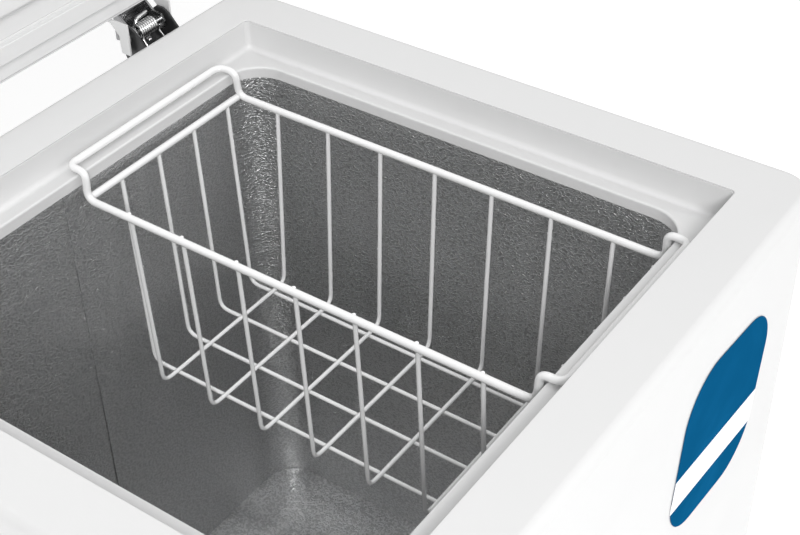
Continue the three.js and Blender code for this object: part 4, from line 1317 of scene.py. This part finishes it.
# ---- Cooling circuit and hidden pieces ----
def compressor_shell():
    """The welded pot on its foot plate."""
    low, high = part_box("compressor")
    centre = (low + high) / 2
    wide = (high.x - low.x) / 2
    tall = high.z - low.z
    radius = wide - 18 * MM
    profile = [
        (0.1 * MM, 0.0), (radius - 22 * MM, 0.0), (radius - 8 * MM, 8 * MM),
        (radius, 26 * MM), (radius, tall * 0.53), (radius, tall * 0.55),
        (radius - 3 * MM, tall * 0.57), (radius - 3 * MM, tall * 0.75),
        (radius - 16 * MM, tall * 0.92), (radius - 36 * MM, tall), (0.1 * MM, tall)]
    path = rounded_path(
        [at(r, z, 0) for r, z in profile], mm(0, 6, 10, 8, 1, 1, 1, 20, 16, 10, 0), False, 5)
    shape = Shape().turned(
        [(p.x, p.y) for p in path], at(centre.x, centre.y, low.z), "Z", 56)
    plate_deep, plate_corner, plate_up = mm(46, 8, 4)
    shape.slab(rounded_plate(wide, plate_deep, plate_corner, 0, 6), 3 * MM,
               lambda a, b, depth: at(centre.x + a, centre.y + b, low.z + plate_up + depth))
    make_piece("compressor_shell", shape, finishes["black"], "cabinet",
               ["compressor"], bevel=0.4 * MM, segments=2)


def works_pieces():
    compressor_shell()
    for name, material, slot, edge in (
            ("foam_core", "foam", "insulating_foam", 0),
            ("evaporator_coil", "copper", "copper_pipe", 0),
            ("condenser_coil", "copper", "copper_pipe", 0),
            ("compartment_walls", "zinc", "galvanised_steel", 0.3),
            ("compressor_rail", "zinc", "galvanised_steel", 0.4),
            ("relay_cover", "rubber", "black_rubber", 1.0),
            ("discharge_pipe", "copper", "copper_pipe", 0),
            ("suction_pipe", "copper", "copper_pipe", 0),
            ("filter_drier", "copper", "copper_pipe", 0)):
        keep_cad(name, finishes[material], edge * MM)
    for number in range(1, 5):
        keep_cad(f"compressor_mount_{number}", finishes["rubber"], 0.4 * MM)


# ---- Stage ----
STUDIO_REACH = 14.0
SENSOR = 36


def floor_finish():
    floor = Finish("Studio floor", (0.92, 0.92, 0.92, 1), 0.6, specular=0.2)
    floor.gloss(floor.uses("peel", Scale=60.0)["Gloss"], 0.05)
    floor.shader.inputs["Emission Color"].default_value = (1, 1, 1, 1)
    floor.shader.inputs["Emission Strength"].default_value = 0.3
    return floor.material


def softbox(name, at_point, aim, size, power):
    light = bpy.data.lights.new(name, "AREA")
    light.shape = "RECTANGLE"
    light.size, light.size_y = size
    light.energy = power
    box = bpy.data.objects.new(name, light)
    bpy.context.scene.collection.objects.link(box)
    box.location = at_point
    box.rotation_mode = "QUATERNION"
    box.rotation_quaternion = (Vector(aim) - Vector(at_point)).to_track_quat("-Z", "Y")


def studio_floor():
    reach = STUDIO_REACH
    ground = bpy.data.meshes.new("studio_floor")
    ground.from_pydata(
        [(-reach, -reach, 0), (reach, -reach, 0), (reach, reach, 0), (-reach, reach, 0)], [],
        [(0, 1, 2, 3)])
    ground.materials.append(floor_finish())
    floor = bpy.data.objects.new("studio_floor", ground)
    bpy.context.scene.collection.objects.link(floor)


def studio_world(strength):
    """Light from all round, strongest from the front right and weakest from the back left."""
    world = bpy.data.worlds.new("Studio")
    world.use_nodes = True
    tree = world.node_tree
    sky = tree.nodes["Background"]
    sky.inputs["Color"].default_value = (1, 1, 1, 1)
    towards = node(tree, "ShaderNodeVectorMath", operation="DOT_PRODUCT")
    towards.inputs[1].default_value = (0.5, -0.86, 0.1)
    place = node(tree, "ShaderNodeTexCoord")
    tree.links.new(place.outputs["Generated"], towards.inputs[0])
    fall = remap(tree, towards.outputs["Value"], -1, 1, strength * 0.45, strength * 1.5)
    tree.links.new(fall, sky.inputs["Strength"])
    return world


def build_stage(stage):
    scene = bpy.context.scene
    studio_floor()
    scene.world = studio_world(stage.sky)
    scene.view_settings.view_transform = "Standard"
    softbox("overhead", (0.2, 0.1, 3.3), (0.0, 0.0, 0.5), (2.4, 2.4), stage.overhead)
    softbox("front", (1.1, -2.4, 2.5), (0.1, BODY_Y, 0.6), (1.6, 1.4), stage.front)
    softbox("side", (-1.75, -1.6, 2.45), (0.2, 0.2, 0.6), (0.7, 0.9), stage.side)

    camera = bpy.data.cameras.new("camera")
    camera.lens = stage.lens
    camera.sensor_width = SENSOR
    camera.clip_start, camera.clip_end = 0.05, 60
    holder = bpy.data.objects.new("camera", camera)
    scene.collection.objects.link(holder)
    sight = Vector(stage.look_at) - Vector(stage.camera_at)
    turn = sight.to_track_quat("-Z", "Y").to_matrix() @ Matrix.Rotation(stage.roll, 3, "Z")
    holder.matrix_world = Matrix.Translation(stage.camera_at) @ turn.to_4x4()
    scene.camera = holder


# ---- Operators ----
class FREEZER_OT_finishes(bpy.types.Operator):
    """Makes the shader effects and every finish of the freezer"""

    bl_idname = "freezer.finishes"
    bl_label = "Finishes"

    def execute(self, context):
        build_effects()
        build_finishes(context.scene.freezer_colours)
        return {"FINISHED"}


class FREEZER_OT_stage(bpy.types.Operator):
    """Sets up the floor, the soft light and the camera"""

    bl_idname = "freezer.stage"
    bl_label = "Stage"

    def execute(self, context):
        build_stage(context.scene.freezer_stage)
        return {"FINISHED"}


class FREEZER_OT_cabinet(bpy.types.Operator):
    """Makes the coated steel cabinet round the frame's openings"""

    bl_idname = "freezer.cabinet"
    bl_label = "Cabinet"

    def execute(self, context):
        cabinet_shell(context.scene.freezer_sizes)
        return {"FINISHED"}


class FREEZER_OT_opening(bpy.types.Operator):
    """Makes the plastic frame round the opening, with its step, ledge, lip and collar"""

    bl_idname = "freezer.opening"
    bl_label = "Opening frame"

    def execute(self, context):
        rim_frame(context.scene.freezer_sizes)
        return {"FINISHED"}


class FREEZER_OT_liner(bpy.types.Operator):
    """Makes the embossed walls and the pan with its step over the compressor"""

    bl_idname = "freezer.liner"
    bl_label = "Liner"

    def execute(self, context):
        liner_pieces(context.scene.freezer_sizes)
        return {"FINISHED"}


class FREEZER_OT_lid(bpy.types.Operator):
    """Makes the lid's skin, lining, seal and grip"""

    bl_idname = "freezer.lid"
    bl_label = "Lid"

    def execute(self, context):
        lid_pieces(context.scene.freezer_sizes)
        return {"FINISHED"}


class FREEZER_OT_hinges(bpy.types.Operator):
    """Makes both spring hinges with their pins, straps, covers and screws"""

    bl_idname = "freezer.hinges"
    bl_label = "Hinges"

    def execute(self, context):
        hinge_pieces()
        return {"FINISHED"}


class FREEZER_OT_basket(bpy.types.Operator):
    """Makes the hanging basket from bent wires"""

    bl_idname = "freezer.basket"
    bl_label = "Basket"

    def execute(self, context):
        basket(context.scene.freezer_sizes)
        return {"FINISHED"}


class FREEZER_OT_label(bpy.types.Operator):
    """Makes the plain blue sticker on the front"""

    bl_idname = "freezer.label"
    bl_label = "Front sticker"

    def execute(self, context):
        front_label()
        return {"FINISHED"}


class FREEZER_OT_controls(bpy.types.Operator):
    """Makes the control panel, dial, marks and lamps"""

    bl_idname = "freezer.controls"
    bl_label = "Controls"

    def execute(self, context):
        control_pieces()
        return {"FINISHED"}


class FREEZER_OT_drain(bpy.types.Operator):
    """Makes the floor plug and the outlet cap"""

    bl_idname = "freezer.drain"
    bl_label = "Drain"

    def execute(self, context):
        drain_pieces()
        return {"FINISHED"}


class FREEZER_OT_vents(bpy.types.Operator):
    """Makes the louvres, back panels and feet"""

    bl_idname = "freezer.vents"
    bl_label = "Vents, back and feet"

    def execute(self, context):
        vent_pieces()
        return {"FINISHED"}


class FREEZER_OT_works(bpy.types.Operator):
    """Makes the compressor and finishes the hidden cooling circuit and foam"""

    bl_idname = "freezer.works"
    bl_label = "Cooling works"

    def execute(self, context):
        works_pieces()
        return {"FINISHED"}


STEPS = (
    "finishes", "stage", "cabinet", "opening", "liner", "lid", "hinges", "basket", "label",
    "controls", "drain", "vents", "works")


class FREEZER_PT_panel(bpy.types.Panel):
    """Lists the freezer's pieces in the order they are made"""

    bl_label = "Chest freezer"
    bl_idname = "FREEZER_PT_panel"
    bl_space_type = "VIEW_3D"
    bl_region_type = "UI"
    bl_category = "Freezer"

    def draw(self, context):
        layout = self.layout
        for step in STEPS:
            layout.operator(f"freezer.{step}")
        for group in ("freezer_sizes", "freezer_colours", "freezer_stage"):
            settings = getattr(context.scene, group)
            box = layout.box()
            for name in settings.__annotations__:
                box.prop(settings, name)


CLASSES = (
    FreezerSizes, FreezerColours, FreezerStage, FREEZER_OT_finishes, FREEZER_OT_stage,
    FREEZER_OT_cabinet, FREEZER_OT_opening, FREEZER_OT_liner, FREEZER_OT_lid,
    FREEZER_OT_hinges, FREEZER_OT_basket, FREEZER_OT_label, FREEZER_OT_controls,
    FREEZER_OT_drain, FREEZER_OT_vents, FREEZER_OT_works, FREEZER_PT_panel)


def register():
    for cls in CLASSES:
        bpy.utils.register_class(cls)
    bpy.types.Scene.freezer_sizes = PointerProperty(type=FreezerSizes)
    bpy.types.Scene.freezer_colours = PointerProperty(type=FreezerColours)
    bpy.types.Scene.freezer_stage = PointerProperty(type=FreezerStage)


def unregister():
    del bpy.types.Scene.freezer_stage
    del bpy.types.Scene.freezer_colours
    del bpy.types.Scene.freezer_sizes
    for cls in reversed(CLASSES):
        bpy.utils.unregister_class(cls)


def main():
    register()
    for step in STEPS:
        getattr(bpy.ops.freezer, step)()


if __name__ == "__main__":
    main()
